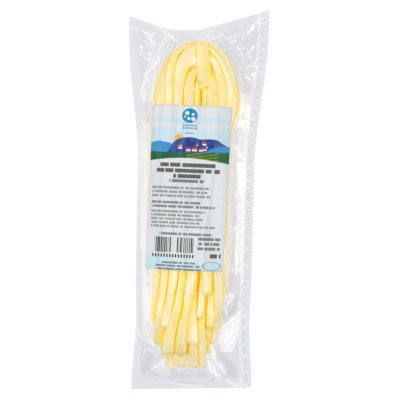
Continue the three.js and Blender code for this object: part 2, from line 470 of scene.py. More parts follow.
@dataclass(frozen=True)
class PrintFinish:
    """The label's print: a plain landscape in fields of colour over rows of dashes, and painted shade.

    Places and sizes are shares of the label, across it and up it.
    """

    name: str = "label_print"
    ground: Colour = paint(234, 238, 240)
    sky: Colour = paint(214, 236, 247)
    foot: Colour = paint(214, 240, 249)
    teal: Colour = paint(14, 150, 192)
    far_hills: Colour = paint(64, 152, 214)
    near_hills: Colour = paint(34, 58, 138)
    hill_light: Colour = paint(64, 98, 172)
    field: Colour = paint(20, 104, 50)
    meadow: Colour = paint(116, 140, 16)
    sun: Colour = paint(255, 190, 0)
    roofs: Colour = paint(215, 62, 48)
    ring: Colour = paint(110, 125, 135)
    ink: Colour = paint(46, 46, 52)
    dark_ink: Colour = paint(22, 20, 24)
    # painted shade of ripples over the strings
    ripple_shade: Colour = paint(128, 140, 150)
    ripple_shade_strength: float = 0.13  # how dark the painted shade of the ripples over the strings is
    ripple_count: float = 11.0  # changes across the label
    ripple_slant: float = -1.1
    ripple_waver: float = 1.6  # changes up the label
    roughness: float = 0.45
    shine: float = 0.15
    cloud_line: Line = ((0.0, 0.925), (0.2, 0.93), (0.45, 0.912), (0.7, 0.93), (1.0, 0.925))
    cloud_height: float = 0.034
    sky_foot: float = 0.70
    sky_fade: float = 0.84
    sky_top: float = 0.875
    sun_place: tuple[Point2, Point2] = ((0.345, 0.803), (0.046, 0.0225))  # an ellipse's middle and reach
    far_line: Line = (
        (0.0, 0.765), (0.084, 0.78), (0.173, 0.775), (0.243, 0.768), (0.32, 0.744), (0.42, 0.72), (1.0, 0.70)
    )
    near_line: Line = (
        (0.0, 0.70), (0.22, 0.72), (0.278, 0.771), (0.36, 0.797), (0.42, 0.804), (0.525, 0.807),
        (0.62, 0.796), (0.737, 0.799), (0.825, 0.796), (0.92, 0.77), (1.0, 0.752)
    )
    valley_line: Line = ((0.0, 0.722), (0.3, 0.71), (0.66, 0.712), (0.78, 0.742), (0.9, 0.757), (1.0, 0.755))
    ground_line: Line = ((0.0, 0.66), (0.25, 0.676), (0.5, 0.68), (0.75, 0.67), (1.0, 0.652))
    crop_line: Line = ((0.0, 0.716), (0.3, 0.712), (0.6, 0.716), (1.0, 0.722))
    crop_rows: float = 330.0
    crop_slant: float = -0.09
    crop_sides: Point2 = (0.46, 0.86)
    foot_line: Line = (
        (0.0, 0.092), (0.2, 0.078), (0.45, 0.062), (0.62, 0.05), (0.72, 0.04), (0.84, 0.062), (1.0, 0.07)
    )
    ring_place: tuple[Point2, Point2] = ((0.85, 0.031), (0.118, 0.0262))
    ring_width: float = 0.1  # share of the ring's reach
    houses: tuple[Point3, ...] = (
        (0.345, 0.735, 0.055), (0.36, 0.75, 0.03), (0.45, 0.722, 0.055),
        (0.525, 0.722, 0.06), (0.61, 0.722, 0.05), (0.66, 0.727, 0.045),
        (0.65, 0.76, 0.05), (0.575, 0.756, 0.022), (0.70, 0.745, 0.02),
    )  # left side, foot and width
    emblem_place: tuple[Point2, Point2] = ((0.475, 0.938), (0.098, 0.0445))
    holes: tuple[Point3, ...] = (
        (0.44, 0.953, 0.026), (0.515, 0.946, 0.018), (0.462, 0.92, 0.02),
        (0.52, 0.918, 0.026), (0.415, 0.931, 0.012),
    )  # middle across and up, and reach across
    hole_height: float = 0.47  # share of the width, which makes a hole round on the label
    emblem_lines: Point2 = (0.878, 0.862)
    bar_blocks: tuple[Point2, ...] = ((0.095, 0.317), (0.39, 0.61))
    bar_ends: Point2 = (0.106, 0.198)
    bar_count: float = 44.0
    text_blocks: tuple[TextBlock, ...] = (
        TextBlock(0.13, 0.83, 0.652, 0.031, 1, 0.0, 3.0, True, 1.0, 7.0, 0.76),
        TextBlock(0.09, 0.89, 0.618, 0.031, 1, 0.0, 5.0, True, 1.0, 9.0, 0.76),
        TextBlock(0.30, 0.65, 0.585, 0.031, 1, 0.0, 8.0, True, 1.0, 8.0, 0.76),
        TextBlock(0.255, 0.69, 0.553, 0.031, 1, 0.0, 13.0, True, 0.85, 10.0),
        TextBlock(0.04, 0.88, 0.508, 0.0248, 3, 0.45, 21.0, False, 0.66, 16.0),
        TextBlock(0.04, 0.95, 0.419, 0.0248, 2, 0.4, 25.0, False, 0.8, 16.0),
        TextBlock(0.04, 0.92, 0.363, 0.0226, 5, 0.45, 29.0, False, 0.66, 16.0),
        TextBlock(0.16, 0.84, 0.229, 0.0248, 1, 0.0, 34.0, True, 0.8, 16.0),
        TextBlock(0.65, 0.95, 0.205, 0.029, 3, 0.2, 44.0, True, 0.85, 13.0),
        TextBlock(0.82, 0.96, 0.108, 0.036, 1, 0.0, 51.0, True, 1.0, 9.0, 0.7),
        TextBlock(0.12, 0.72, 0.052, 0.0195, 3, 0.3, 62.0, True, 0.8, 15.0),
    )

    def material(self) -> bpy.types.Material:
        """Makes the material.

        Returns:
            The label's material, which reads the label's own UV map.
        """
        return LabelPrint(self).material()


class LabelPrint:
    """Lays out the label's print as masks on its UV map, one over the other."""

    def __init__(self, finish: PrintFinish) -> None:
        """Starts the print.

        Args:
            finish: The colours and the text blocks.
        """
        self.finish = finish
        self.bench = NodeBench(finish.name)
        self.place = self.bench.node("UVMap").outputs[0]
        self.u, self.v = self.bench.node("SeparateXYZ", {0: self.place}).outputs[:2]
        self.colour: Value = finish.ground

    def over(self, mask: Value, colour: Value) -> None:
        """Prints a colour over what is there, where the mask is 1."""
        self.colour = self.bench.blend(mask, self.colour, colour)

    def between(self, value: Value, low: Value, high: Value) -> Socket:
        """1 where a value lies between two others."""
        above = self.bench.math("GREATER_THAN", value, low)
        return self.bench.times(above, self.bench.math("LESS_THAN", value, high))

    def rectangle(self, left: float, right: float, low: float, high: float) -> Socket:
        """1 inside a rectangle."""
        return self.bench.times(self.between(self.u, left, right), self.between(self.v, low, high))

    def dashed(self, count: float, share: float) -> Socket:
        """1 on even dashes across the label, which fill a share of their pitch."""
        place = self.bench.times(self.u, count)
        return self.bench.math("LESS_THAN", self.bench.math("FRACT", place), share)

    def off_centre(self, middle: Point2, reach: Point2) -> Socket:
        """How far a point lies from an ellipse's middle: 1 on the ellipse."""
        away = (self.bench.math("SUBTRACT", place, at) for place, at in zip((self.u, self.v), middle))
        return self.bench.distance(*(self.bench.math("DIVIDE", a, r) for a, r in zip(away, reach)))

    def disc(self, middle: Point2, reach: Point2, colour: Colour) -> None:
        """Prints a filled ellipse."""
        self.over(self.bench.math("LESS_THAN", self.off_centre(middle, reach), 1.0), colour)

    def skyline(self, points: Line) -> Socket:
        """The height of a smooth line through some points.

        Args:
            points: Places across the label and heights up it, from left to right.

        Returns:
            The line's height at each place across the label.
        """
        curve = self.bench.node("FloatCurve", {"Value": self.u})
        line = curve.mapping.curves[0].points
        for place, point in zip(points, line):
            point.location = place
        for place in points[len(line):]:
            line.new(*place)
        curve.mapping.update()
        return curve.outputs[0]

    def sky(self) -> None:
        """Prints the clouds' band, the sky that fades upwards, and the sun."""
        bench, finish = self.bench, self.finish
        wave = self.skyline(finish.cloud_line)
        self.over(self.between(self.v, bench.math("SUBTRACT", wave, finish.cloud_height), wave), finish.sky)
        clear = bench.math("SUBTRACT", 1.0, bench.spread(self.v, finish.sky_fade, finish.sky_top))
        self.over(bench.times(self.between(self.v, finish.sky_foot, finish.sky_top), clear), finish.sky)
        self.disc(*finish.sun_place, finish.sun)

    def landscape(self) -> None:
        """Prints the hills, houses and fields."""
        bench, finish = self.bench, self.finish
        shade = bench.cloud(self.place, 3.0, 14.0)
        near_hills = bench.blend(bench.spread(shade, 0.42, 0.62), finish.near_hills, finish.hill_light)
        hills = (
            (finish.far_line, finish.far_hills),
            (finish.near_line, near_hills),
            (finish.valley_line, finish.far_hills),
        )
        for line, colour in hills:
            self.over(self.between(self.v, finish.sky_foot, self.skyline(line)), colour)
        for left, foot, width in finish.houses:
            right = left + width
            self.over(self.rectangle(left, right, foot, foot + 0.36 * width), finish.ground)
            self.over(self.rectangle(left, right, foot + 0.2 * width, foot + 0.42 * width), finish.roofs)
        in_field = self.between(self.v, self.skyline(finish.ground_line), self.skyline(finish.crop_line))
        self.over(in_field, finish.field)
        slope = bench.math("MULTIPLY_ADD", self.u, finish.crop_slant, bench.math("ADD", self.v, 0.075))
        rows = bench.math("GREATER_THAN", bench.math("SINE", bench.times(slope, finish.crop_rows)), -0.1)
        self.over(bench.times(in_field, self.between(self.u, *finish.crop_sides), rows), finish.meadow)

    def emblem(self) -> None:
        """Prints a plain disc with round holes, as of a cheese, and lines of dashes under it."""
        finish = self.finish
        self.disc(*finish.emblem_place, finish.teal)
        for height in finish.emblem_lines:
            line = self.rectangle(0.385, 0.57, height - 0.006, height + 0.005)
            self.over(self.bench.times(line, self.dashed(38.0, 0.62)), finish.teal)
        self.over(self.rectangle(0.43, 0.53, 0.829, 0.835), finish.teal)
        for across, up, reach in finish.holes:
            self.disc((across, up), (reach, reach * finish.hole_height), finish.ground)

    def dashes(self, block: TextBlock) -> None:
        """Prints rows of dashes.

        Args:
            block: Where the rows are and how they look.
        """
        bench = self.bench
        down = bench.math("DIVIDE", bench.math("SUBTRACT", block.top, self.v), block.pitch)
        row = bench.math("FLOOR", down)
        in_row = self.between(bench.math("FRACT", down), 0.1, 0.1 + block.height)
        in_rows = bench.times(in_row, self.between(down, 0.0, float(block.rows)))
        chance = bench.node("TexWhiteNoise", {"W": bench.math("ADD", row, block.seed)}, noise_dimensions="1D")
        short = bench.times(chance.outputs[0], block.ragged * (block.right - block.left))
        if block.centred:
            half = bench.math("SUBTRACT", (block.right - block.left) / 2, bench.math("DIVIDE", short, 2.0))
            in_line = bench.math("LESS_THAN", bench.away(self.u, (block.left + block.right) / 2), half)
        else:
            in_line = self.between(self.u, block.left, bench.math("SUBTRACT", block.right, short))
        word = bench.math("MULTIPLY_ADD", row, 7.31, bench.times(self.u, block.words))
        stagger = bench.node("TexNoise", {"W": word, "Scale": 2.0, "Detail": 1.0}, noise_dimensions="1D")
        in_word = bench.math("GREATER_THAN", stagger.outputs[0], 0.36)
        body = bench.math("MULTIPLY_ADD", bench.math("SINE", bench.times(word, 40.0)), 0.15, 0.85)
        mask = bench.times(in_rows, bench.times(in_line, in_word))
        colour = self.finish.dark_ink if block.ink > 0.8 else self.finish.ink
        self.over(bench.times(mask, bench.times(body, block.ink)), colour)

    def bars(self) -> None:
        """Prints two blocks of upright bars, with dashes under them."""
        bench, finish = self.bench, self.finish
        block = bench.math("ADD", *(self.rectangle(*sides, *finish.bar_ends) for sides in finish.bar_blocks))
        place = bench.times(self.u, finish.bar_count)
        chance = bench.node("TexWhiteNoise", {"W": bench.math("FLOOR", place)}, noise_dimensions="1D")
        width = bench.spread(chance.outputs[0], 0.0, 1.0, 0.25, 0.85)
        bar = bench.math("LESS_THAN", bench.math("FRACT", place), width)
        self.over(bench.times(block, bar), finish.dark_ink)
        under = self.rectangle(0.06, 0.62, 0.076, 0.096)
        self.over(bench.times(under, self.dashed(27.0, 0.5)), finish.dark_ink)

    def footer(self) -> None:
        """Prints the pale foot and a bare oval ring on it."""
        finish = self.finish
        self.over(self.bench.math("LESS_THAN", self.v, self.skyline(finish.foot_line)), finish.foot)
        inner = 1.0 - finish.ring_width
        self.over(self.between(self.off_centre(*finish.ring_place), inner, 1.0), finish.ring)

    def paint_ripple_shade(self) -> None:
        """Paints soft bands of shade down the label, standing in for ripples over the strings."""
        bench, finish = self.bench, self.finish
        slanted = bench.times(self.u, finish.ripple_count)
        across = bench.math("MULTIPLY_ADD", self.v, finish.ripple_slant, slanted)
        cloud = bench.cloud(bench.point(across, bench.times(self.v, finish.ripple_waver)))
        self.over(bench.spread(cloud, 0.44, 0.6, 0.0, finish.ripple_shade_strength), finish.ripple_shade)

    def material(self) -> bpy.types.Material:
        """Prints everything and makes the material."""
        for part in (self.sky, self.landscape, self.footer, self.paint_ripple_shade, self.emblem, self.bars):
            part()
        for block in self.finish.text_blocks:
            self.dashes(block)
        look = {"Roughness": self.finish.roughness, "Specular IOR Level": self.finish.shine}
        shader = self.bench.node("BsdfPrincipled", {"Base Color": self.colour, **look})
        return self.bench.finish(shader.outputs[0])


@dataclass(frozen=True)
class FloorFinish:
    """A white table, lit from below."""

    name: str = "floor"
    colour: Colour = (0.45, 0.45, 0.45, 1.0)
    light: float = 0.66

    def material(self) -> bpy.types.Material:
        """Makes the material."""
        bench = NodeBench(self.name)
        paper = bench.node("BsdfDiffuse", {"Color": self.colour})
        lit = bench.node("Emission", {"Strength": self.light})
        shader = bench.node("AddShader", {0: paper.outputs[0], 1: lit.outputs[0]})
        return bench.finish(shader.outputs[0])


# ---------------------------------------------------------------- meshes


def write_points(mesh: bpy.types.Mesh, points: Array) -> None:
    """Moves a mesh's vertices to some points, given in millimetres."""
    mesh.vertices.foreach_set("co", (points * MM).ravel())
    mesh.update()


def read_points(mesh: bpy.types.Mesh) -> Array:
    """A mesh's vertices, one in each row, in metres."""
    flat = np.empty(len(mesh.vertices) * 3)
    mesh.vertices.foreach_get("co", flat)
    return flat.reshape(-1, 3)


def write_attribute(mesh: bpy.types.Mesh, name: str, values: Array) -> None:
    """Stores a number or a vector for each vertex."""
    kind, key = ("FLOAT_VECTOR", "vector") if values.ndim == 2 else ("FLOAT", "value")
    attribute = mesh.attributes.new(name, kind, "POINT")
    attribute.data.foreach_set(key, values.astype(np.float32).ravel())


def new_mesh(name: str, shape: bmesh.types.BMesh) -> bpy.types.Mesh:
    """Makes a mesh of a finished shape, which is used up."""
    mesh = bpy.data.meshes.new(name)
    shape.to_mesh(mesh)
    shape.free()
    return mesh


def join_meshes(name: str, meshes: Iterable[bpy.types.Mesh]) -> bpy.types.Mesh:
    """One mesh of several, with their vertices in the same order.

    Args:
        name: The new mesh's name.
        meshes: The meshes, which are used up.

    Returns:
        The joined mesh.
    """
    joined = bmesh.new()
    for mesh in meshes:
        joined.from_mesh(mesh)
        bpy.data.meshes.remove(mesh)
    return new_mesh(name, joined)


def show(name: str, mesh: bpy.types.Mesh, material: bpy.types.Material) -> bpy.types.Object:
    """Puts a mesh in the scene, with smooth faces and one material.

    Args:
        name: The piece's name.
        mesh: Its mesh.
        material: Its finish.

    Returns:
        The piece.
    """
    mesh.materials.clear()
    mesh.materials.append(material)
    mesh.polygons.foreach_set("use_smooth", [True] * len(mesh.polygons))
    piece = bpy.data.objects.new(name, mesh)
    bpy.context.scene.collection.objects.link(piece)
    log.info("%s: %d faces", name, len(mesh.polygons))
    return piece


def tube(around: int, rings: int) -> tuple[bpy.types.Mesh, Array, Array]:
    """A closed tube of unit radius, whose rings are then moved to where they belong.

    Args:
        around: Vertices in a ring.
        rings: How many rings.

    Returns:
        The mesh, and each vertex's ring number and angle.
    """
    shape = bmesh.new()
    bmesh.ops.create_cone(
        shape, cap_ends=True, cap_tris=False, segments=around, radius1=1.0, radius2=1.0, depth=1.0
    )
    uprights = [e for e in shape.edges if abs(e.verts[0].co.z - e.verts[1].co.z) > 0.5]
    bmesh.ops.subdivide_edges(shape, edges=uprights, cuts=rings - 2, use_grid_fill=True)
    mesh = new_mesh("tube", shape)
    points = read_points(mesh)
    ring = np.rint((points[:, 2] + 0.5) * (rings - 1)).astype(int)
    return mesh, ring, np.arctan2(points[:, 1], points[:, 0])


def sheet(columns: int, rows: int) -> tuple[bpy.types.Mesh, Array, Array]:
    """A flat grid, whose vertices are then moved to where they belong.

    Args:
        columns: Faces across.
        rows: Faces up.

    Returns:
        The mesh, and each vertex's share of the way across and up.
    """
    shape = bmesh.new()
    bmesh.ops.create_grid(shape, x_segments=columns, y_segments=rows, size=0.5)
    mesh = new_mesh("sheet", shape)
    points = read_points(mesh)
    return mesh, points[:, 0] + 0.5, points[:, 1] + 0.5


# ---------------------------------------------------------------- a square grid of heights


@dataclass
class HeightField:
    """Heights on a square grid over the pack."""

    half_x: float = 62.0
    half_y: float = 156.0
    pitch: float = 0.8
    level: float = 0.0
    x: Array = field(init=False)
    y: Array = field(init=False)
    heights: Array = field(init=False)

    def __post_init__(self) -> None:
        """Lays out the grid at its first level."""
        across = np.arange(-self.half_x, self.half_x + self.pitch, self.pitch)
        along = np.arange(-self.half_y, self.half_y + self.pitch, self.pitch)
        self.x, self.y = np.meshgrid(across, along)
        self.heights = np.full(self.x.shape, self.level)

    @classmethod
    def of(cls, heights: Array) -> "HeightField":
        """A grid that holds some heights."""
        made = cls()
        made.heights = heights
        return made

    def at(self, x: Array, y: Array) -> Array:
        """The height at some points, smooth between the grid's own.

        Args:
            x: The points' places across.
            y: The points' places along.

        Returns:
            A height for each point.
        """
        rows, columns = self.heights.shape
        column = np.clip((x + self.half_x) / self.pitch, 0, columns - 1.001)
        row = np.clip((y + self.half_y) / self.pitch, 0, rows - 1.001)
        i, j = column.astype(int), row.astype(int)
        s, t = column - i, row - j
        low = self.heights[j, i] * (1 - s) + self.heights[j, i + 1] * s
        high = self.heights[j + 1, i] * (1 - s) + self.heights[j + 1, i + 1] * s
        return low * (1 - t) + high * t

    def steepness(self, x: Array, y: Array) -> Array:
        """How much longer a slope is than its plan, at some points: 1 where it is level."""
        reach = 2 * self.pitch
        across = self.at(x + reach, y) - self.at(x - reach, y)
        along = self.at(x, y + reach) - self.at(x, y - reach)
        return np.sqrt(1.0 + (across**2 + along**2) / (2 * reach) ** 2)

    def raise_to(self, x: Array, y: Array, heights: Array) -> None:
        """Lifts the grid to some heights where it lies lower."""
        i = np.rint((x + self.half_x) / self.pitch).astype(int)
        j = np.rint((y + self.half_y) / self.pitch).astype(int)
        np.maximum.at(self.heights, (j.ravel(), i.ravel()), heights.ravel())


Skins = list[tuple[HeightField, float]]  # surfaces over the hank, each with its share of the depth


# ---------------------------------------------------------------- strings


class CutEnd(Enum):
    """How a string ends: how far from its tip it narrows, and how wide it is there."""

    BLUNT = (1.6, 0.72)
    ROUND = (4.5, 0.35)
    TAPERED = (15.0, 0.16)


@dataclass(frozen=True)
class Leg:
    """One half of a folded string, from beside the label's top edge to its cut end."""

    route: tuple[Point3, ...]  # across, along, and the string's width there
    end: CutEnd = CutEnd.BLUNT
    slant: float = 0.0


@dataclass(frozen=True)
class Fold:
    """One side of a string's fold over the tie."""

    crest: float  # how high it reaches
    bend: float = 1.5  # how much taller it is than wide
    squareness: float = 2.5
    width: float = 6.6  # the string's width at its crest


@dataclass(frozen=True)
class FoldedString:
    """A string folded over at the tie."""

    left: Leg
    right: Leg
    left_fold: Fold
    right_fold: Fold
    thickness: float = 4.3

def leg(*route: Point3, end: CutEnd = CutEnd.BLUNT, slant: float = 0.0) -> Leg:
    """A leg through some points."""
    return Leg(route, end, slant)


@dataclass(frozen=True)
class HankPlan:
    """Where each string runs. The layers are named from the front of the pack to its back."""

    tie_x: float = 3.8
    stations: tuple[float, ...] = (-118, -95, -58, -10, 48, 78)  # places along the hank
    middles: tuple[float, ...] = (-6, -4.7, -4.7, -6.2, -6.0, -0.2)
    halves: tuple[float, ...] = (19, 24, 27.5, 29.3, 29.6, 32.2)
    waist_stations: tuple[float, ...] = (-10.0, 20.0, 48.0)  # where strings run hidden by the label
    lane_stations: tuple[float, ...] = (75.5, -56.0, -80.0, -98.0)
    lane_width: float = 7.3
    lane_end_width: float = 7.0
    lane_wander: float = 0.7
    end_wander: float = 7.0

    def middle(self, y: float) -> float:
        """Middle of the hank."""
        return float(np.interp(y, self.stations, self.middles))

    def half(self, y: float) -> float:
        """Half the width of the hank."""
        return float(np.interp(y, self.stations, self.halves))

    def across(self, share: float, y: float) -> float:
        """The place at a share of half the hank's width from its middle."""
        return self.middle(y) + share * self.half(y)

    def front(self) -> list[FoldedString]:
        """The strings that lie on top, from the innermost fold to the outermost."""
        return [
            FoldedString(
                leg((-0.5, 75.5, 4.8), (0.2, -57, 4), (0.3, -72, 4.8), (0.1, -84, 6.2),
                    (-0.4, -95, 8), (-0.4, -105, 9.8), (-0.2, -112.4, 10.8), slant=0.5),
                leg((6.1, 75.5, 3.6), (7.6, -57, 5), (6.4, -80, 5.2), (5.4, -93, 5),
                    end=CutEnd.ROUND),
                Fold(95), Fold(93),
            ),
            FoldedString(
                leg((3.4, 92, 5.6), (3.9, 85.2, 4.4), end=CutEnd.ROUND),
                leg((6.2, 92, 5), (6.6, 88, 4), end=CutEnd.ROUND),
                Fold(99), Fold(99), 3.4,
            ),
            FoldedString(
                leg((-6.85, 75.5, 8.1), (-0.4, -57, 8.4), (-3.8, -80, 8.2), (-6.9, -95, 7.6),
                    (-8.6, -105, 8.4), (-8.8, -114, 9.2), (-8.9, -121, 9), slant=-1),
                leg((11.6, 75.5, 8.4), (10.3, -45, 8.2), (10.4, -58, 8.2), (10.5, -74.5, 7.2),
                    slant=-2.2),
                Fold(101.4, 1.5, 2.7, 6.4), Fold(112, 3.4, 2, 8),
            ),
            FoldedString(
                leg((-14.8, 75.5, 7.6), (-7.9, -57, 6.8), (-11.15, -80, 6.4), (-14.4, -95, 7.2),
                    (-17.5, -105, 8), (-18, -114, 8.6), (-18.1, -120.5, 8.8), slant=-0.8),
                leg((19, 75.5, 8.6), (17.4, -52, 7), (19.7, -80, 7.2), (19.6, -95, 7.4),
                    (18.6, -103, 6.6), (15.2, -113, 5.2), end=CutEnd.TAPERED),
                Fold(113.2, 1.7, 3, 15), Fold(116.5, 2.2, 2, 8),
            ),
            FoldedString(
                leg((-22, 75.5, 7), (-15.05, -57, 7.3), (-17.85, -80, 7), (-20.7, -95, 6.2),
                    (-21, -100.4, 6), slant=0.6),
                leg((26.6, 75.5, 8.8), (22, -50, 7), (23.2, -64, 6.4), (24.4, -74, 5),
                    end=CutEnd.TAPERED),
                Fold(121.4, 1.6, 3.4, 5.2), Fold(119.5, 1.8, 2, 7),
            ),
        ]

    def second(self) -> list[FoldedString]:
        """The strings under the front ones. Their longer ends show beyond those in front."""
        return [
            FoldedString(
                leg((-2.6, 75.5, 7.2), (-0.4, -56, 6.6), (-0.3, -79.5, 6.6), (-0.5, -97.6, 6.4),
                    (0.8, -112, 7.6), (1.4, -123, 8.2), (1.3, -132.2, 8.6)),
                leg((8.6, 75.5, 7), (7.4, -40, 6.4), (4.6, -62, 5)),
                Fold(95), Fold(95),
            ),
            FoldedString(
                leg((-10.4, 75.5, 7.4), (-3.8, -56, 7.2), (-6.6, -79.5, 7.4), (-9, -97.6, 7.8),
                    (-8.8, -112, 8), (-8.5, -123, 7.4), (-7.8, -131.5, 8), slant=0.8),
                leg((15.8, 75.5, 7.4), (8.9, -56, 6.6), (7.2, -79.5, 6.4), (6.4, -97.6, 6.6),
                    (7.5, -112.7, 6.4), (8.4, -123, 6.2), (8.5, -131.6, 6.2)),
                Fold(101.5), Fold(101.5),
            ),
            FoldedString(
                leg((-18.2, 75.5, 7.6), (-11.8, -56, 7.4), (-14.6, -79.5, 7.4), (-17.4, -97.6, 7.6),
                    (-17.8, -112, 7.8), (-16.7, -124, 8.8), (-15.9, -134.8, 8), end=CutEnd.TAPERED),
                leg((23.4, 75.5, 7.6), (15, -56, 6.8), (13.6, -80, 6.6), (13.2, -100.6, 6.4),
                    end=CutEnd.ROUND),
                Fold(111, 1.7, 3, 9), Fold(114.5, 2, 2, 7.6),
            ),
            FoldedString(
                leg((-28.2, 75.5, 8), (-21.8, -56, 7.4), (-24.3, -79.5, 7.6), (-26, -97.6, 7.6),
                    (-27.2, -114.4, 6.6), slant=-1.4),
                leg((31.2, 75.5, 6.8), (26.6, 60, 6.4), (22.4, 46, 6), (20, 10, 6),
                    (19, -22, 6)),
                Fold(119, 1.3, 2.8), Fold(120, 1.9, 2),
            ),
        ]

    def third(self) -> list[FoldedString]:
        """The strings at half the hank's depth."""
        return [
            self.lane(0.16, 95, -112),
            self.lane(0.42, 102, -119),
            FoldedString(
                leg((-24.4, 75.5, 7.4), (-19.2, -56, 7.4), (-21.6, -79.5, 7.2), (-22.6, -97.6, 7),
                    (-22.4, -112, 6.6), (-22, -123, 5.6), end=CutEnd.TAPERED),
                leg((22.6, 75.5, 7.4), (16, -56, 7.2), (11.6, -82, 7), (11, -104, 7),
                    (11.8, -121, 6.8)),
                Fold(112, 1.6, 3), Fold(110.5),
            ),
            FoldedString(
                leg((-31.2, 75.5, 7.6), (-28.8, -56, 6.8), (-29.6, -79.5, 6.2), (-29.6, -98, 5.6)),
                leg((30.2, 75.5, 6.8), (22.6, -56, 6.6), (20.2, -80, 6.4), (18.2, -97, 6.2),
                    end=CutEnd.ROUND),
                Fold(117.5, 1.3, 2.6), Fold(116.5, 1.9, 2),
            ),
        ]

    def back(self) -> list[FoldedString]:
        """The strings that lie on the back film."""
        lanes = ((0.13, 94.0, -121), (0.38, 101.5, -116), (0.62, 109.5, -124), (0.86, 117.0, -108))
        return [self.lane(*lane) for lane in lanes]

    def lane(self, share: float, crest: float, end: float) -> FoldedString:
        """A string that keeps its share of the hank's width all the way down.

        Args:
            share: The share of half the hank's width that it keeps on each side.
            crest: How high its fold reaches.
            end: Where its ends are cut, which is a little uneven.

        Returns:
            The string.
        """
        legs = []
        for side in (-share, share):
            route = []
            for y in self.lane_stations:
                wander = self.lane_wander * noise.noise(Vector((y / 23.0, 9.0 * side, 0.5)))
                route.append((self.across(side, y) + wander, y, self.lane_width))
            cut = end + self.end_wander * noise.noise(Vector((3.1 * side, crest, 0.3)))
            route.append((self.across(side, self.stations[0]), cut, self.lane_end_width))
            legs.append(leg(*route))
        return FoldedString(*legs, Fold(crest), Fold(crest))

    def fold_points(self, start: Point3, fold: Fold) -> list[Point3]:
        """Points up one side of a fold, from a leg to the tie.

        Args:
            start: Where the leg comes up, and its width there.
            fold: The fold's sizes.

        Returns:
            The points, the last of them at the tie.
        """
        reach = self.tie_x - start[0]
        rise = max(fold.bend * abs(reach), 10.0)
        power = 2.0 / fold.squareness
        points = []
        for angle in np.linspace(0.0, math.pi / 2, 9):
            across = self.tie_x - reach * math.cos(angle) ** power
            height = fold.crest - rise * (1.0 - math.sin(angle) ** power)
            points.append((across, height, start[2] + (fold.width - start[2]) * math.sin(angle)))
        return points

    def waist(self, half: Leg) -> list[Point3]:
        """Where a leg runs under the label, from low to high."""
        (top_x, top_y, top_width), (low_x, low_y, low_width) = half.route[:2]
        share = (top_x - self.middle(top_y)) / self.half(top_y)
        share = (share + (low_x - self.middle(low_y)) / self.half(low_y)) / 2
        width = (top_width + low_width) / 2
        return [(self.across(share, y), y, width) for y in self.waist_stations]

    def whole_route(self, string: FoldedString) -> list[Point3]:
        """A string's route from one cut end over the fold to the other.

        Args:
            string: The string.

        Returns:
            Points with the string's width at each.
        """
        halves = []
        for half, fold in ((string.left, string.left_fold), (string.right, string.right_fold)):
            top = half.route[0]
            over = [point for point in self.fold_points(top, fold) if point[1] > top[1] + 3.0]
            passes_label = half.route[1][1] < -40.0
            waist = self.waist(half) if passes_label else []
            halves.append([*reversed(half.route[1:]), *waist, top, *over])
        return halves[0] + halves[1][-2::-1]


def even_path(route: Sequence[Point3], step: float, smoothing: float) -> Array:
    """Evenly spaced points on a smooth line through a route.

    Args:
        route: Points with two places and a width.
        step: The distance between the new points.
        smoothing: How far the corners are rounded.

    Returns:
        One row for each point.
    """
    fine = 0.5
    finely = respaced(np.array(route, float), fine)
    return respaced(blurred(finely, smoothing / fine), step)


def respaced(knots: Array, spacing: float) -> Array:
    """Evenly spaced points on the straight lines through others.

    Args:
        knots: One row for each point: two places, and what else goes with them.
        spacing: The distance between the new points.

    Returns:
        One row for each new point.
    """
    gaps = np.hypot(*np.diff(knots[:, :2], axis=0).T)
    along = np.concatenate([[0.0], np.cumsum(gaps)])
    count = max(2, round(along[-1] / spacing) + 1)
    wanted = np.linspace(0.0, along[-1], count)
    return np.column_stack([np.interp(wanted, along, column) for column in knots.T])


def blurred(rows: Array, reach: float) -> Array:
    """Rows of numbers, blurred along their first axis with their ends kept.

    Args:
        rows: The rows.
        reach: Standard deviation of the blur, in rows.

    Returns:
        The blurred rows.
    """
    width = int(3 * reach)
    weights = np.exp(-0.5 * (np.arange(-width, width + 1) / reach) ** 2)
    weights /= weights.sum()
    first, last = rows[:1], rows[-1:]
    if len(rows) > width:
        padded = np.concatenate([2 * first - rows[width:0:-1], rows, 2 * last - rows[-2:-width - 2:-1]])
    else:
        padded = np.concatenate([np.repeat(first, width, axis=0), rows, np.repeat(last, width, axis=0)])
    return np.column_stack([np.convolve(column, weights, "valid") for column in padded.T])


def blurred_line(values: Array, reach: float) -> Array:
    """A line of numbers, blurred along it."""
    return blurred(values[:, None], reach)[:, 0]


def blurred_grid(grid: Array, passes: int) -> Array:
    """A grid of numbers, each mixed with its neighbours a few times."""
    for _ in range(passes):
        padded = np.pad(grid, 1, mode="edge")
        ends = padded[:-2, 1:-1] + padded[2:, 1:-1] + padded[1:-1, :-2] + padded[1:-1, 2:]
        grid = (ends + padded[1:-1, 1:-1]) / 5
    return grid


def unit(vectors: Array) -> Array:
    """Rows of numbers as vectors one long."""
    return vectors / np.linalg.norm(vectors, axis=1)[:, None]


def rounded_power(values: Array, power: float) -> Array:
    """Numbers from -1 to 1, raised to a power with their signs kept."""
    return np.sign(values) * np.abs(values) ** power


def end_skews(count: int, legs: tuple[Leg, Leg]) -> Array:
    """How far each ring of a string is skewed along it, for a share of its width.

    Args:
        count: How many rings.
        legs: The string's two halves, whose ends may be cut at a slant.

    Returns:
        A number for each ring.
    """
    reach, usual_width = 5, 8.0
    skews = np.zeros(count)
    for step in range(reach):
        left = 1.0 - step / reach
        skews[step] = legs[0].slant / usual_width * left
        skews[count - 1 - step] = legs[1].slant / usual_width * left
    return skews


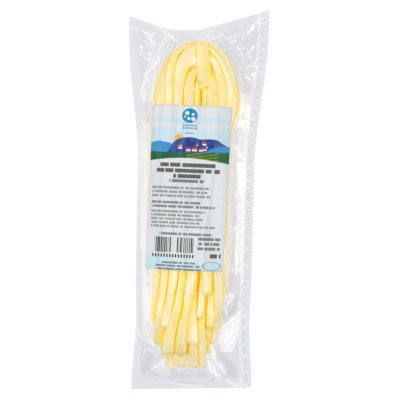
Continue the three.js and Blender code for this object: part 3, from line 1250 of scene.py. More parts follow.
@dataclass
class LaidString:
    """A string in its place: its middle line, sizes and lean at each of its rings."""

    line: Array
    width: Array
    height: Array
    lean: Array
    skew: Array
    seed: float
    squareness: float = STRING_SQUARENESS
    lump_pitch: float = 13.0
    lump_share: float = 0.045
    fibre_pitch: float = 48.0
    fibre_share: float = 0.05
    fibres_around: float = 2.6
    grain_shift: float = 300.0  # how far one string's grain lies from the next one's

    def directions(self) -> tuple[Array, Array, Array]:
        """Which way is forward, sideways and up at each ring, for the string's lean."""
        forward = unit(np.gradient(self.line, axis=0))
        level = unit(np.column_stack([-forward[:, 1], forward[:, 0], np.zeros(len(forward))]))
        upright = np.cross(forward, level)
        sideways = level * np.cos(self.lean)[:, None] + upright * np.sin(self.lean)[:, None]
        return forward, sideways, np.cross(forward, sideways)

    def mesh(self, around: int) -> tuple[bpy.types.Mesh, Array]:
        """Makes the string's surface.

        Args:
            around: Vertices around the string.

        Returns:
            The mesh, and for each vertex its place in the straightened string.
        """
        mesh, ring, angle = tube(around, len(self.line))
        forward, sideways, upward = self.directions()
        gaps = np.linalg.norm(np.diff(self.line, axis=0), axis=1)
        along = np.concatenate([[0.0], np.cumsum(gaps)])[ring]
        cosine, sine = np.cos(angle), np.sin(angle)
        power = 2.0 / self.squareness
        lumps = noise_at(cosine + self.seed, sine, along / self.lump_pitch)
        turns = self.fibres_around
        fibres = noise_at(turns * cosine, turns * sine + self.seed, along / self.fibre_pitch)
        swell = 1.0 + self.lump_share * lumps + self.fibre_share * fibres
        across = rounded_power(cosine, power) * swell * self.width[ring] / 2
        up = rounded_power(sine, power) * swell * self.height[ring] / 2
        slant = self.skew[ring] * across
        points = self.line[ring] + sideways[ring] * across[:, None] + upward[ring] * up[:, None]
        points += forward[ring] * slant[:, None]
        write_points(mesh, points)
        grain = np.column_stack([across, up, along + self.grain_shift * self.seed])
        return mesh, grain


@dataclass
class Hank:
    """The folded strings and the one that ties them, laid on each other."""

    plan: HankPlan
    finish: CheeseFinish
    step: float = 2.2
    smoothing: float = 4.0
    film_room: float = 0.3
    spare: float = 0.3  # how much narrower each string is than its lane
    uneven_width: float = 0.04
    uneven_pitch: float = 14.0  # rings from a wide stretch to a narrow one
    probe_reach: float = 0.36  # share of a string's width over which it feels what is below
    settling: float = 2.6  # how stiffly a string bends over what is below, in rings
    steepest: float = 0.7
    lean_share: float = 0.8
    crown_steps: int = 21
    tie_thickness: float = 2.2
    tie_low: float = 92.4
    tie_high: float = 121.2
    tie_left: Line = ((91.0, 0.3), (92.5, -0.6), (95.0, -1.2), (123.0, -1.0))
    tie_right: Line = (
        (91.0, 3.4), (92.5, 5.2), (94.5, 7.6), (96.5, 9.2),
        (100.0, 9.9), (107.0, 9.6), (115.0, 7.8), (123.0, 6.8)
    )
    first_seed: float = 0.37
    seed_step: float = 1.61
    laid: HeightField = field(init=False)  # the top of what has been laid so far
    material: bpy.types.Material = field(init=False)
    pieces: list[bpy.types.Object] = field(default_factory=list)

    def __post_init__(self) -> None:
        """Starts with the bare back film."""
        self.laid = HeightField(level=self.film_room)

    def lay(self, string: FoldedString, seed: float) -> LaidString:
        """Lays a string on what is there already.

        Args:
            string: The string.
            seed: A number of its own, for its unevenness.

        Returns:
            The string in its place.
        """
        path = even_path(self.plan.whole_route(string), self.step, self.smoothing)
        count = len(path)
        wander = noise_at(np.arange(count) / self.uneven_pitch, np.full(count, seed))
        path[:, 2] = (path[:, 2] - self.spare) * (1.0 + self.uneven_width * wander)
        direction = unit(np.gradient(path[:, :2], axis=0))
        side = np.column_stack([-direction[:, 1], direction[:, 0]])
        shares = np.linspace(-self.probe_reach, self.probe_reach, 7)
        probes = path[:, None, :2] + side[:, None, :] * (shares * path[:, 2:3])[:, :, None]
        below = self.laid.at(probes[..., 0], probes[..., 1])
        rest = blurred_line(below.mean(axis=1), self.settling)
        slope = blurred_line(np.polyfit(shares, below.T, 1)[0] / path[:, 2], self.settling)
        lean = np.arctan(np.clip(slope, -self.steepest, self.steepest)) * self.lean_share
        width, height = self.end_sizes(path, string)
        line = np.column_stack([path[:, :2], rest + string.thickness / 2])
        self.settle_over(line, path[:, 2], string.thickness, side, lean)
        skew = end_skews(count, (string.left, string.right))
        return LaidString(line, width, height, lean, skew, seed)

    def end_sizes(self, path: Array, string: FoldedString) -> tuple[Array, Array]:
        """A string's width and height at each point, narrowed towards its cut ends.

        Args:
            path: The string's path, with its widths.
            string: The string.

        Returns:
            The widths and the heights.
        """
        width = path[:, 2].copy()
        height = np.full(len(path), string.thickness)
        place = np.arange(len(path)) * self.step
        for half, away in ((string.left, place), (string.right, place[::-1])):
            reach, least = half.end.value
            width *= least + (1.0 - least) * quarter_round(away / reach)
            height *= 0.55 + 0.45 * quarter_round(away / min(reach, 5.0))
        return width, height

    def settle_over(self, line: Array, width: Array, thickness: float, side: Array, lean: Array) -> None:
        """Raises the heap to the top of a string that was laid on it.

        Args:
            line: The string's middle line.
            width: Its width at each point of the line.
            thickness: Its height.
            side: Which way is sideways at each point.
            lean: How far it leans there.
        """
        fine = np.arange(0, len(line) - 1, 0.25)
        columns = (*line.T, width, *side.T, lean)
        x, y, z, w, sx, sy, tilt = (np.interp(fine, np.arange(len(line)), column) for column in columns)
        shares, crown = self.crown(thickness / 2, STRING_SQUARENESS)
        top = z + crown + shares * w * np.tan(tilt)
        self.laid.raise_to(x + sx * w * shares, y + sy * w * shares, top)

    def crown(self, height: float, squareness: float) -> tuple[Array, Array]:
        """The top of a string's section: places across it, as shares of its width, and heights."""
        shares = np.linspace(-0.5, 0.5, self.crown_steps)[:, None]
        return shares, height * (1.0 - np.abs(2 * shares) ** squareness) ** (1 / squareness)

    def lay_tie_back(self) -> None:
        """Raises the heap over the tie where it runs along the back film."""
        y = np.arange(self.tie_low, self.tie_high, 0.5)
        middle, width = self.tie_sides(y)
        shares, crown = self.crown(self.tie_thickness, 4.0)
        x = middle + width * shares
        top = self.film_room + crown
        self.laid.raise_to(x, np.broadcast_to(y, x.shape), np.broadcast_to(top, x.shape))

    def add_piece(self, name: str, strings: Sequence[LaidString], around: int) -> None:
        """Makes one piece of some strings.

        Args:
            name: The piece's name.
            strings: The strings in their places.
            around: Vertices around each string.
        """
        meshes, grains, tones = [], [], []
        for string in strings:
            mesh, grain = string.mesh(around)
            meshes.append(mesh)
            grains.append(grain)
            tones.append(np.full(len(grain), math.sin(12.9898 * string.seed)))
        mesh = join_meshes(name, meshes)
        write_attribute(mesh, "grain", np.concatenate(grains))
        write_attribute(mesh, "tone", np.concatenate(tones))
        self.pieces.append(show(name, mesh, self.material))

    def tie(self, seed: float) -> LaidString:
        """The string that ties the folds: over their front and round behind them.

        Args:
            seed: A number of its own, for its unevenness.

        Returns:
            The tie in its place.
        """
        half = self.tie_thickness / 2
        low, high = self.tie_low, self.tie_high
        y = np.linspace(low, high, 12)
        middle, width = self.tie_sides(y)
        probes = middle + np.linspace(-0.4, 0.4, 7)[:, None] * width
        below = self.laid.at(probes, np.broadcast_to(y, probes.shape)).mean(axis=0)
        front = blurred_line(below, 1.2) + half
        back = self.film_room + half
        loop = [
            (low + 1.0, 7.5), (low - 1.4, front[0] - 3.2),  # out between the legs and up to the front
            *zip(y, front),
            (high + 1.5, front[-1] - 2.0), (high + 2.0, 5.0), (high + 1.0, back + 0.6),  # over the folds
            *((place, back) for place in y[::-1]),
            (low - 1.2, back + 1.2), (low + 1.0, 6.5),  # and in again from the back
        ]
        path = even_path([(along, height, 0.0) for along, height in loop], 1.2, 1.1)
        count = len(path)
        waver = noise_at(np.linspace(0.0, 6.0, count), np.full(count, seed))
        middle, width = self.tie_sides(path[:, 0])
        line = np.column_stack([middle, path[:, 0], path[:, 1]])
        thickness, flat = np.full(count, self.tie_thickness), np.zeros(count)
        return LaidString(line, width * (1.0 + 0.03 * waver), thickness, flat, flat, seed, 3.2)

    def tie_sides(self, y: Array) -> tuple[Array, Array]:
        """The middle and width of the tie at some places up the pack."""
        left = np.interp(y, *zip(*self.tie_left))
        right = np.interp(y, *zip(*self.tie_right))
        return (left + right) / 2, right - left

    def build(self) -> None:
        """Lays the strings from the back to the front and makes their pieces."""
        self.material = self.finish.material()
        self.lay_tie_back()
        seed = self.first_seed
        layers = []
        for strings in (self.plan.back(), self.plan.third(), self.plan.second(), self.plan.front()):
            laid = []
            for string in strings:
                laid.append(self.lay(string, seed))
                seed += self.seed_step
            layers.append(laid)
        log.info("the hank is %.1f mm thick", self.laid.heights.max())
        self.add_piece("strings_back", layers[0] + layers[1], 18)
        self.add_piece("strings_front", layers[2] + layers[3], 24)
        self.add_piece("tie_string", [self.tie(seed)], 28)

    def measure_depth(self, film: "Film") -> None:
        """Stores how far each point lies below a snug skin over the hank, which the cheese's finish paints as
        shade in the grooves.

        Args:
            film: The film, drawn over the hank, with the skins that the depth is measured from.
        """
        for piece in self.pieces:
            x, y, z = read_points(piece.data).T / MM
            depths = []
            for skins, height in ((film.front_skins, z), (film.back_skins, -z)):
                under = [
                    (skin.at(x, y) - height) / skin.steepness(x, y) ** 2 * share for skin, share in skins
                ]
                depths.append(np.sum(np.clip(under, 0.0, 12.0), axis=0) * film.inland.at(x, y))
            # the depth that the cheese's painted groove shade is drawn from
            write_attribute(piece.data, "sunk", np.minimum(*depths))


# ---------------------------------------------------------------- film


@dataclass(frozen=True)
class PouchOutline:
    """The pouch's outline and the height of its flaps, as in the frame."""

    length: float
    waist: float = 91.6
    flare: float = 18.4
    flare_start: Point2 = (25.0, 132.0)  # where along the pouch the flare sets in, and is full
    pinch: float = 1.2
    pinch_y: float = -95.0
    pinch_reach: float = 22.0
    foot_flare: float = 1.4
    foot_start: Point2 = (105.0, 145.0)  # the same for the foot's flare, down from the middle
    flap_height: float = 3.4
    flap_wave: float = 1.1
    left_corner_drop: float = 7.0
    valley_drop: float = 17.2
    valley_start: float = 0.29
    valley_end: float = 0.5
    valley_rounding: float = 0.6
    bottom_rise: float = 3.0

    def half_width(self, y: Array) -> Array:
        """Half the pouch's width."""
        flare = self.flare / 2 * smoothstep(y, *self.flare_start)
        pinch = self.pinch * np.exp(-(((y - self.pinch_y) / self.pinch_reach) ** 2))
        return self.waist / 2 + flare - pinch + self.foot_flare * smoothstep(-y, *self.foot_start)

    def top(self, share: Array) -> Array:
        """The top edge: it falls from both corners to a valley, with rounded bends.

        Args:
            share: Shares of the width, from the left.

        Returns:
            The edge's place along the pouch at each share.
        """
        left = -self.left_corner_drop - (self.valley_drop - self.left_corner_drop) / self.valley_start * share
        right = -self.valley_drop / (1.0 - self.valley_end) * (1.0 - share)
        rounding = self.valley_rounding
        total = np.exp(left / rounding) + np.exp(right / rounding) + np.exp(-self.valley_drop / rounding)
        return self.length / 2 + rounding * np.log(total)

    def bottom(self, share: Array) -> Array:
        """The bottom edge at a share of the width from the left."""
        return -self.length / 2 + self.bottom_rise * share

    def flap(self, x: Array, y: Array) -> Array:
        """Height of the middle of the flaps."""
        wave = np.sin(y / 17.0 + 0.6 * np.sign(x)) * np.sin(x / 29.0 + 0.6)
        return self.flap_height + self.flap_wave * wave * smoothstep(np.abs(x), 20.0, 50.0)

    def inset(self, x: Array, y: Array) -> tuple[Array, Array, Array]:
        """How far points lie inside the outline.

        Args:
            x: The points' places across.
            y: The points' places along.

        Returns:
            The distances from the left and right edges and from the nearer of the top and
            bottom ones.
        """
        half = self.half_width(y)
        share = np.clip(x / (2 * half) + 0.5, 0.0, 1.0)
        ends = np.minimum(self.top(share) - y, y - self.bottom(share))
        return x + half, half - x, ends


@dataclass(frozen=True)
class BeadRow:
    """A row of small raised beads along the right seal."""

    inset: float
    reach: float
    pitch: float
    height: float
    slant: float = 0.0

    def heights(self, right: Array, y: Array) -> Array:
        """How high the beads stand at some insets from the right edge and places along."""
        band = np.exp(-(((right - self.inset) / self.reach) ** 2))
        row = np.sin(2 * math.pi * (y + self.slant * right) / self.pitch)
        return self.height * band * np.maximum(row, 0.0)


@dataclass(frozen=True)
class Crease:
    """A sharp fold in the film: a ridge with flat sides, from one point to another."""

    start: Point2
    end: Point2
    height: float
    width: float
    bow: float = 0.0
    light: float = 0.0  # how strong the highlight painted on its ridge is, or below 0, how dark its painted shade is

    def profile(self, x: Array, y: Array, width: float) -> Array:
        """The crease's shape, 1 on its ridge.

        Args:
            x: Places across.
            y: Places along.
            width: How wide each side of the ridge is.

        Returns:
            Its share at each place.
        """
        run = np.subtract(self.end, self.start)
        length = float(np.hypot(*run))
        run = run / length
        along = ((x - self.start[0]) * run[0] + (y - self.start[1]) * run[1]) / length
        across = (x - self.start[0]) * run[1] - (y - self.start[1]) * run[0]
        arch = 4.0 * along * (1.0 - along)
        across = across - self.bow * arch
        return np.clip(arch, 0.0, 1.0) ** 0.6 * np.clip(1.0 - np.abs(across) / width, 0.0, 1.0)


@dataclass(frozen=True)
class Facet:
    """A flat fold of film with a painted highlight in the film's tint, or below 0, painted shade."""

    light: float
    corners: Line

    def cover(self, x: Array, y: Array) -> Array:
        """1 inside the facet and 0 outside it.

        Args:
            x: Places across.
            y: Places along.

        Returns:
            Its share at each place.
        """
        inside = np.full_like(x, np.inf)
        middle = np.mean(self.corners, axis=0)
        for start, end in zip(self.corners, self.corners[1:] + self.corners[:1]):
            run = np.subtract(end, start) / math.dist(start, end)
            away = (x - start[0]) * run[1] - (y - start[1]) * run[0]
            side = (middle[0] - start[0]) * run[1] - (middle[1] - start[1]) * run[0]
            inside = np.minimum(inside, away * np.sign(side))
        return smoothstep(inside, -0.5, 0.6)


@dataclass(frozen=True)
class Crumple:
    """A place where the film is more crumpled than elsewhere."""

    place: Point2
    reach: Point2
    amount: float

    def share(self, x: Array, y: Array) -> Array:
        """How much more it is crumpled at some places."""
        across, along = (x - self.place[0]) / self.reach[0], (y - self.place[1]) / self.reach[1]
        return self.amount * np.exp(-(across**2) - along**2)


# Each crease lifts the film, and its sixth number paints a highlight along its ridge, or below 0, shade.
CREASES = (
    # from the hank's folds to the pouch's top corners
    Crease((-54.5, 133.5), (-45, 132.5), 0.5, 1.4, 0, 0.6),
    Crease((-45, 132), (-36, 127), 1.2, 1.8, 0.4, 1),
    Crease((-36.5, 138.5), (-18.5, 123.5), 0.9, 2.2, -0.5, 0.5),
    Crease((-24.5, 129.5), (-15.5, 123.5), 1, 1.6, 0.3, 0.7),
    Crease((-36, 121), (-18, 121.5), 0.7, 1.6, 0.8, 0.4),
    Crease((-29, 114.5), (-42.5, 97), 0.9, 1.6, -1.6, 0.7),
    Crease((-40, 99), (-45, 83.5), 1, 1.5, -0.6, 0.6),
    Crease((-45, 84), (-40.5, 75.5), 0.6, 1.4, 0.5, 0.7),
    Crease((-34, 108), (-41, 62), 0.9, 1.5, -2, 0.5),
    Crease((2.5, 125.5), (11.5, 134.5), 0.8, 1.2, 0.5, 0.6),
    Crease((5, 124), (20, 131), 1, 1.6, 0.7, 0.8),
    Crease((11.5, 119), (13.5, 124), 0.7, 1.2, 0, 0.8),
    Crease((14, 124), (36, 133), 0.9, 1.8, 1.2, 0.4),
    Crease((39, 136), (53.5, 147), 0.6, 1.2, 0.5, 0.7),
    Crease((37, 129.5), (43.5, 138.5), 1.3, 1.5, 0.3, 1.3),
    Crease((45.5, 139.5), (48.5, 138), 0.7, 1, 0, 1.2),
    Crease((24, 125), (27.5, 122.5), 0.8, 1.1, 0, 1),
    Crease((30, 119.5), (36.5, 119.5), 0.8, 1, 0.4, 1),
    Crease((27, 112), (37, 99), 0.9, 1.4, -0.8, 0.4),
    Crease((36, 99.5), (42, 93.5), 1.2, 1, -0.4, 1.3),
    # beside the hank
    Crease((40.5, 76.5), (40.5, 55.5), 1.2, 1.5, 0.6, 1.2),
    Crease((35, 92), (36, 76), 0.8, 1.4, 0.8, 0.4),
    Crease((33, 70), (29, 54), 0.8, 1, 0.8, 0.7),
    Crease((30, 30), (33, -30), 0.8, 3, 1.2),
    Crease((36, -3), (37.5, -17), 0.9, 1.1, 0.3, 0.9),
    Crease((37, -16.5), (30.5, -24.5), 1, 1.1, 0.5, 1.2),
    Crease((30, -54.5), (34, -57.5), 0.6, 1, 0, 0.8),
    Crease((24.5, -74), (32, -79), 1, 1.1, 1.4, 1),
    Crease((32, -79), (26, -83.5), 1, 1.2, 1.4, 1.1),
    Crease((-39, 55), (-38.5, -30), 0.7, 2.2, 0.8, 0.25),
    Crease((-39.5, -41), (-37, -100), 0.8, 1.6, 0.4, 0.45),
    Crease((-34, -44.5), (-32.5, -108), 0.8, 1.4, -0.4, 0.55),
    Crease((-46, -99.5), (-40.5, -109.5), 0.8, 1.1, -0.6, 0.8),
    Crease((-40.5, -109.5), (-23, -122.5), 0.8, 1.1, -2, 0.7),
    Crease((-36, -117.5), (-28.5, -121.5), 0.8, 0.9, 0, 1.1),
    # the crumpled corner beside the cut ends
    Crease((37.5, -86), (21.5, -101.5), 1.4, 1.2, -0.6, 1.3),
    Crease((36, -95), (24, -108), 0.8, 1.2, -0.4, 0.9),
    Crease((36.5, -99), (24, -114), 0.8, 1.3, 0.4, 0.9),
    Crease((35, -106), (25, -117.5), 0.8, 1.2, -0.3, 0.8),
    Crease((22.5, -118.5), (32, -119), 0.8, 1.1, -0.5, 0.9),
    # the finger from the last string to the bottom
    Crease((13, -111.5), (18.5, -127.5), 1.5, 1.5, -0.9, 1.6),
    Crease((18, -127), (27, -136), 1.5, 1.6, -0.6, 1.6),
    Crease((10.5, -118), (14, -133.5), 1.2, 1.1, -0.6, 0.9),
    Crease((13.5, -133), (22.5, -141), 1.2, 1.6, -0.6, 1.6),
    Crease((26.5, -140.5), (39.5, -146), 1, 1.1, 1.2, 1.3),
    # around the cavity below the cut ends
    Crease((-31.5, -135.5), (-20, -142), 0.8, 1.2, 0.8, -0.9),
    Crease((-21.5, -142), (11.5, -143.5), 0.8, 1.3, 1, -0.9),
    Crease((10, -143.5), (21.5, -139), 0.8, 1.2, 0.4, -1),
    Crease((-30, -139), (12, -146), 0.5, 1.5, 3, 0.5),
    Crease((-31.5, -134.5), (-21.5, -125.5), 0.8, 1.2, 0.6, 0.9),
    Crease((-24, -128), (-17.5, -134), 0.7, 1.2, 0.6, 0.6),
    Crease((-16, -133), (4, -136.5), 0.6, 1.4, 0.8, 0.4),
    # where the film clings to the strings
    Crease((-29.5, -70.5), (-29.5, -77), 0.3, 1, 0.3, 1),
    Crease((-26.5, -73), (-22.5, -75.5), 0.3, 0.9, 0.3, 1.1),
    Crease((-2, -112), (4.5, -103), 0.3, 1.1, 0.4, 1),
    Crease((-5, -115), (6.5, -120.5), 0.3, 1, -1.4, 0.9),
    Crease((1, -97), (9, -104), 0.3, 1, 0.6, 0.8),
    Crease((22, -62), (24, -74), 0.3, 1.3, 1.2, 1.2),
    Crease((-26, 84), (-17, 76), 0.3, 0.9, 0.8, 0.9),
    Crease((8.5, 83), (15, 77), 0.3, 0.9, 0.8, 0.8),
    Crease((2, 104.5), (5.5, 106.5), 0.3, 0.9, 0, 1.1),
)
# Facets paint highlights into the film's tint, and below 0, shade.
FACETS = (
    Facet(0.2, ((-18, 122), (-35, 115.5), (-40, 104), (-30, 99), (-21.5, 112.5))),
    Facet(0.22, ((-40, 104), (-45, 85), (-40, 75), (-33, 77), (-30, 99))),
    Facet(0.9, ((35.5, 81.5), (37.5, 70.5), (34, 65), (31.5, 66.5))),
    Facet(0.9, ((34, 65), (38, 62), (36.5, 58), (30, 57))),
    Facet(0.8, ((28.5, 44), (33, 42), (37.5, 32), (32.5, 33.5))),
    Facet(0.9, ((31.5, 28), (37, 30.5), (38, 20), (37, -3), (34, 7.5))),
    Facet(0.6, ((37.5, -86.5), (21.5, -102), (20.5, -111), (24, -118.5), (32, -119), (36, -108))),
    Facet(0.4, ((11.5, -108), (16, -122), (26, -134.5), (21, -140), (13.5, -132))),
    Facet(0.12, ((-30.5, -134), (-23, -128), (-15.5, -134), (-24, -140))),
    Facet(0.3, ((-42, -40), (-31, -40), (-29, -116), (-39, -108))),
    Facet(-0.5, ((-40, -114), (-30, -124), (-33, -136), (-40, -138))),
    Facet(-0.4, ((-14, -134), (10, -134), (14, -140), (-20, -141))),
    Facet(-0.5, ((26, -84.5), (32, -77), (37.5, -75), (37, -84), (28.5, -92))),
    Facet(-0.5, ((17, -114), (22, -119), (33, -120), (36, -140), (28, -138))),
    Facet(0.4, ((32, 84), (41, 84), (39.5, -20), (38.5, -60), (32, -54))),
    Facet(0.35, ((-42.5, 60), (-35, 60), (-35, -40), (-42.5, -40))),
    Facet(-0.5, ((18, -97), (30, -88), (26, -86), (20, -90))),
)


@dataclass
class Film:
    """The clear pouch, drawn tight over the hank and sealed all round."""

    outline: PouchOutline
    finish: FilmFinish
    columns: int = 118
    rows: int = 322
    seal: float = 8.0
    right_seal_less: float = 0.6  # how much narrower the right seal is
    clearance: float = 0.12
    seal_gap: float = 0.1
    parting: float = 0.22  # how far the films part where they lie free of the contents
    pull: float = 1 / 7.0  # how sharply the vacuum bends the free film, per millimetre
    label_pull: float = 1 / 45.0
    snug_pull: float = 0.35
    bridge: float = 2.4
    far_share: float = 0.25
    label_reach: float = 0.9  # the label stays clear of what lies this near to each of its points
    rim_share: float = 0.3  # how much of the depth is kept along the outline of the contents
    held_slack: float = 0.22
    seal_slack: float = 0.15
    back_share: float = 0.3
    passes: int = 600
    soft_lift: float = 0.8
    fine_lift: float = 0.35
    ray_lift: float = 1.5
    ray_middle: Point2 = (1.0, 70.0)
    ray_count: float = 5.2  # rays in each radian
    ray_pitch: float = 90.0
    ray_start: Point2 = (92.0, 118.0)  # where along the pack they set in, and are full
    bead_rows: tuple[BeadRow, BeadRow] = (BeadRow(4.6, 1.3, 3.3, 0.34, 0.8), BeadRow(8.4, 0.8, 4.2, 0.2))
    crumples: tuple[Crumple, ...] = (
        Crumple((28.0, -98.0), (8.0, 13.0), 1.1),
        Crumple((34.0, 34.0), (6.0, 16.0), 1.0),
        Crumple((40.0, 108.0), (12.0, 12.0), 0.9),
        Crumple((-38.0, 124.0), (10.0, 8.0), 0.8),
        Crumple((-6.0, -136.0), (26.0, 5.0), 0.2),
    )
    creases: tuple[Crease, ...] = CREASES
    facets: tuple[Facet, ...] = FACETS
    front: HeightField = field(init=False)
    back: HeightField = field(init=False)
    front_skins: Skins = field(init=False)
    back_skins: Skins = field(init=False)
    inland: HeightField = field(init=False)  # how much of the depth is kept
    slack: HeightField = field(init=False)
    # painted highlights and painted shade of the folds
    bright: HeightField = field(init=False)

    def flap_wrinkles(self) -> Array:
        """How far wrinkles part the two films where they lie free of the hank.

        Returns:
            The height of the wrinkles over the grid.
        """
        x, y = self.front.x, self.front.y
        soft = noise_at(x / 13.0, y / 21.0, 1.7)
        fine = noise_at(x / 5.5, y / 8.0, 4.1)
        lift = self.soft_lift * np.maximum(soft + 0.12, 0.0) + self.fine_lift * np.maximum(fine, 0.0)
        over, up = x - self.ray_middle[0], y - self.ray_middle[1]
        rays = noise_at(np.arctan2(up, over) * self.ray_count, np.hypot(over, up) / self.ray_pitch, 7.7)
        lift = lift + self.ray_lift * smoothstep(y, *self.ray_start) * np.maximum(rays - 0.05, 0.0)
        for crease in self.creases:
            lift = np.maximum(lift, crease.height * crease.profile(x, y, crease.width) + 0.35 * lift)
        return lift

    def brightness(self) -> Array:
        """The painted highlights on the folds, or below 0, their painted shade.

        Returns:
            Numbers from -1 to 1 over the grid.
        """
        x, y = self.front.x, self.front.y
        total = np.zeros_like(x)
        # uneven streaks in the strength of the painted facets
        grain = 0.85 + 0.6 * noise_at((x + y) / 2.6, (x - y) / 11.0, 3.3)
        for facet in self.facets:
            total += facet.light * facet.cover(x, y) * grain
        for crease in self.creases:
            total += crease.light * crease.profile(x, y, 0.75 * crease.width)
        return np.clip(total, -1.0, 1.0)

    def sealed(self) -> Array:
        """0 in the seals, where the films are one, and 1 inside them, over the grid."""
        left, right, ends = self.outline.inset(self.front.x, self.front.y)
        sides = np.minimum(left, right + self.right_seal_less)
        return smoothstep(np.minimum(sides, ends), self.seal - 1.0, self.seal + 1.2)

    def beads(self) -> Array:
        """Small beads along the right seal: a slanted row with gaps, and a finer one inside it.

        Returns:
            Their height over the grid.
        """
        y = self.front.y
        _, right, ends = self.outline.inset(self.front.x, y)
        gaps = smoothstep(noise_at(y / 19.0, np.zeros_like(y), 2.2), -0.15, 0.2)
        outer, inner = (row.heights(right, y) for row in self.bead_rows)
        return (outer * gaps + inner) * smoothstep(ends, 6.0, 14.0)

    def label_zone(self, low: Vector, high: Vector) -> Array:
        """1 under the label, where the film is stiff, over the grid."""
        x, y = self.front.x, self.front.y
        sides = (x - low.x / MM, high.x / MM - x, y - low.y / MM, high.y / MM - y)
        return smoothstep(np.minimum.reduce(sides), -1.0, 1.5)

    def bare_heights(self, contents: Sequence[bpy.types.Object], middle: Array) -> tuple[Array, Array]:
        """How far the contents reach up and down at each point of the grid.

        Args:
            contents: The pieces in the pouch.
            middle: The height of the flaps, which holds where there are no contents.

        Returns:
            The heights of their top, and of their underside seen from below.
        """
        x, y = self.front.x, self.front.y
        trees = [BVHTree.FromObject(piece, bpy.context.evaluated_depsgraph_get()) for piece in contents]
        top, under = middle.copy(), -middle
        low, high = self.reach(contents)
        inside = (x > low.x) & (x < high.x) & (y > low.y) & (y < high.y)
        up, clear = Vector((0.0, 0.0, 1.0)), 0.1
        for spot in map(tuple, np.argwhere(inside).tolist()):
            place = Vector((x[spot] * MM, y[spot] * MM, 0.0))
            for tree in trees:
                highest = tree.ray_cast(place + clear * up, -up)[0]
                if highest is not None:
                    lowest = tree.ray_cast(place - clear * up, up)[0]
                    top[spot] = max(top[spot], highest.z / MM)
                    under[spot] = max(under[spot], -lowest.z / MM)
        return top, under

    def shape(self, contents: Sequence[bpy.types.Object], label_box: tuple[Vector, Vector]) -> None:
        """Draws the film over its contents.

        Args:
            contents: The pieces in the pouch.
            label_box: The lowest and highest corners of the label.
        """
        self.front, self.back = HeightField(), HeightField()
        x, y = self.front.x, self.front.y
        middle = self.outline.flap(x, y)
        free = self.sealed()
        stiff = self.label_zone(*label_box)
        bare_top, bare_under = self.bare_heights(contents, middle)
        held = blurred_grid(1.0 * (bare_top > middle + 1.0), 3)
        self.measure_looks(bare_top > middle, held, free, stiff)
        self.front_skins, self.back_skins = self.skins(bare_top), self.skins(bare_under)
        base = self.seal_gap + self.parting * free
        above = np.maximum(middle + base + self.beads(), bare_top + self.clearance * (bare_top > middle))
        under_label = self.spread_out(bare_top, self.label_reach)
        lifts = (stiff > 0.0) & (under_label > middle)
        above = np.maximum(above, np.where(lifts, under_label + self.clearance, above))
        below = np.maximum(base - middle, bare_under + self.clearance * (bare_under > -middle))
        wrinkles = self.flap_wrinkles() * free * (1.0 - smoothstep(held, 0.0, 0.6)) * (1.0 - stiff)
        self.front.heights = self.drape(above, self.pull + (self.label_pull - self.pull) * stiff) + wrinkles
        back = -self.drape(below, np.full_like(x, self.pull))
        back = np.maximum(back - self.back_share * wrinkles, np.minimum(back, self.seal_gap))
        self.back.heights = np.minimum(back, self.front.heights - 2 * self.seal_gap)

    def measure_looks(self, filled: Array, held: Array, free: Array, stiff: Array) -> None:
        """Measures what the finishes read: how loose the film is, its painted highlights and shade, and the
        depth's fade.

        Args:
            filled: Where there are contents.
            held: The share of the film that clings to them.
            free: 0 in the seals and 1 inside them.
            stiff: 1 under the label.
        """
        x, y = self.front.x, self.front.y
        covered = -self.spread_out(-filled.astype(float), self.bridge)
        self.inland = HeightField.of(self.rim_share + (1.0 - self.rim_share) * blurred_grid(covered, 3))
        loose = 1.0 - (1.0 - self.held_slack) * held
        loose = loose * (self.seal_slack + (1.0 - self.seal_slack) * free) * (1.0 - stiff)
        self.slack = HeightField.of(loose * (1.0 + sum(crumple.share(x, y) for crumple in self.crumples)))
        # painted highlights and painted shade, none under the label
        self.bright = HeightField.of(self.brightness() * (1.0 - stiff))

    def skins(self, heights: Array) -> Skins:
        """Surfaces that the depth between the strings is measured from, each with its share.

        Args:
            heights: The bare contents' heights.

        Returns:
            A skin that fills only the narrow grooves, and one that spans the whole hank.
        """
        close = -self.spread_out(-self.spread_out(heights, self.bridge), self.bridge)
        far = self.drape(heights, np.full_like(heights, self.snug_pull))
        return [(HeightField.of(close), 1.0), (HeightField.of(far), self.far_share)]

    def spread_out(self, heights: Array, reach: float) -> Array:
        """Each height's highest neighbour within some reach.

        Args:
            heights: The heights on the grid.
            reach: How far away a neighbour may lie.

        Returns:
            The highest heights.
        """
        cells = int(reach / self.front.pitch)
        padded = np.pad(heights, cells, mode="edge")
        rows, columns = heights.shape
        highest = heights.copy()
        for i, j in itertools.product(range(-cells, cells + 1), repeat=2):
            if i * i + j * j <= (cells + 0.5) ** 2:
                near = padded[cells + i:cells + i + rows, cells + j:cells + j + columns]
                highest = np.maximum(highest, near)
        return highest

    def reach(self, contents: Sequence[bpy.types.Object]) -> tuple[Vector, Vector]:
        """The lowest and highest corners of the contents, in millimetres."""
        points = np.concatenate([read_points(piece.data) for piece in contents]) / MM
        return Vector(points.min(axis=0)), Vector(points.max(axis=0))

    def drape(self, support: Array, pull: Array) -> Array:
        """Heights of a film stretched over supports and pulled onto them.

        Args:
            support: The heights that hold the film up.
            pull: How sharply the film bends where it hangs free.

        Returns:
            The film's heights.
        """
        height = support.copy()
        sag = pull[1:-1, 1:-1] * self.front.pitch**2 / 4
        for _ in range(self.passes):
            around = height[:-2, 1:-1] + height[2:, 1:-1] + height[1:-1, :-2] + height[1:-1, 2:]
            height[1:-1, 1:-1] = np.maximum(support[1:-1, 1:-1], around / 4 - sag)
        return height

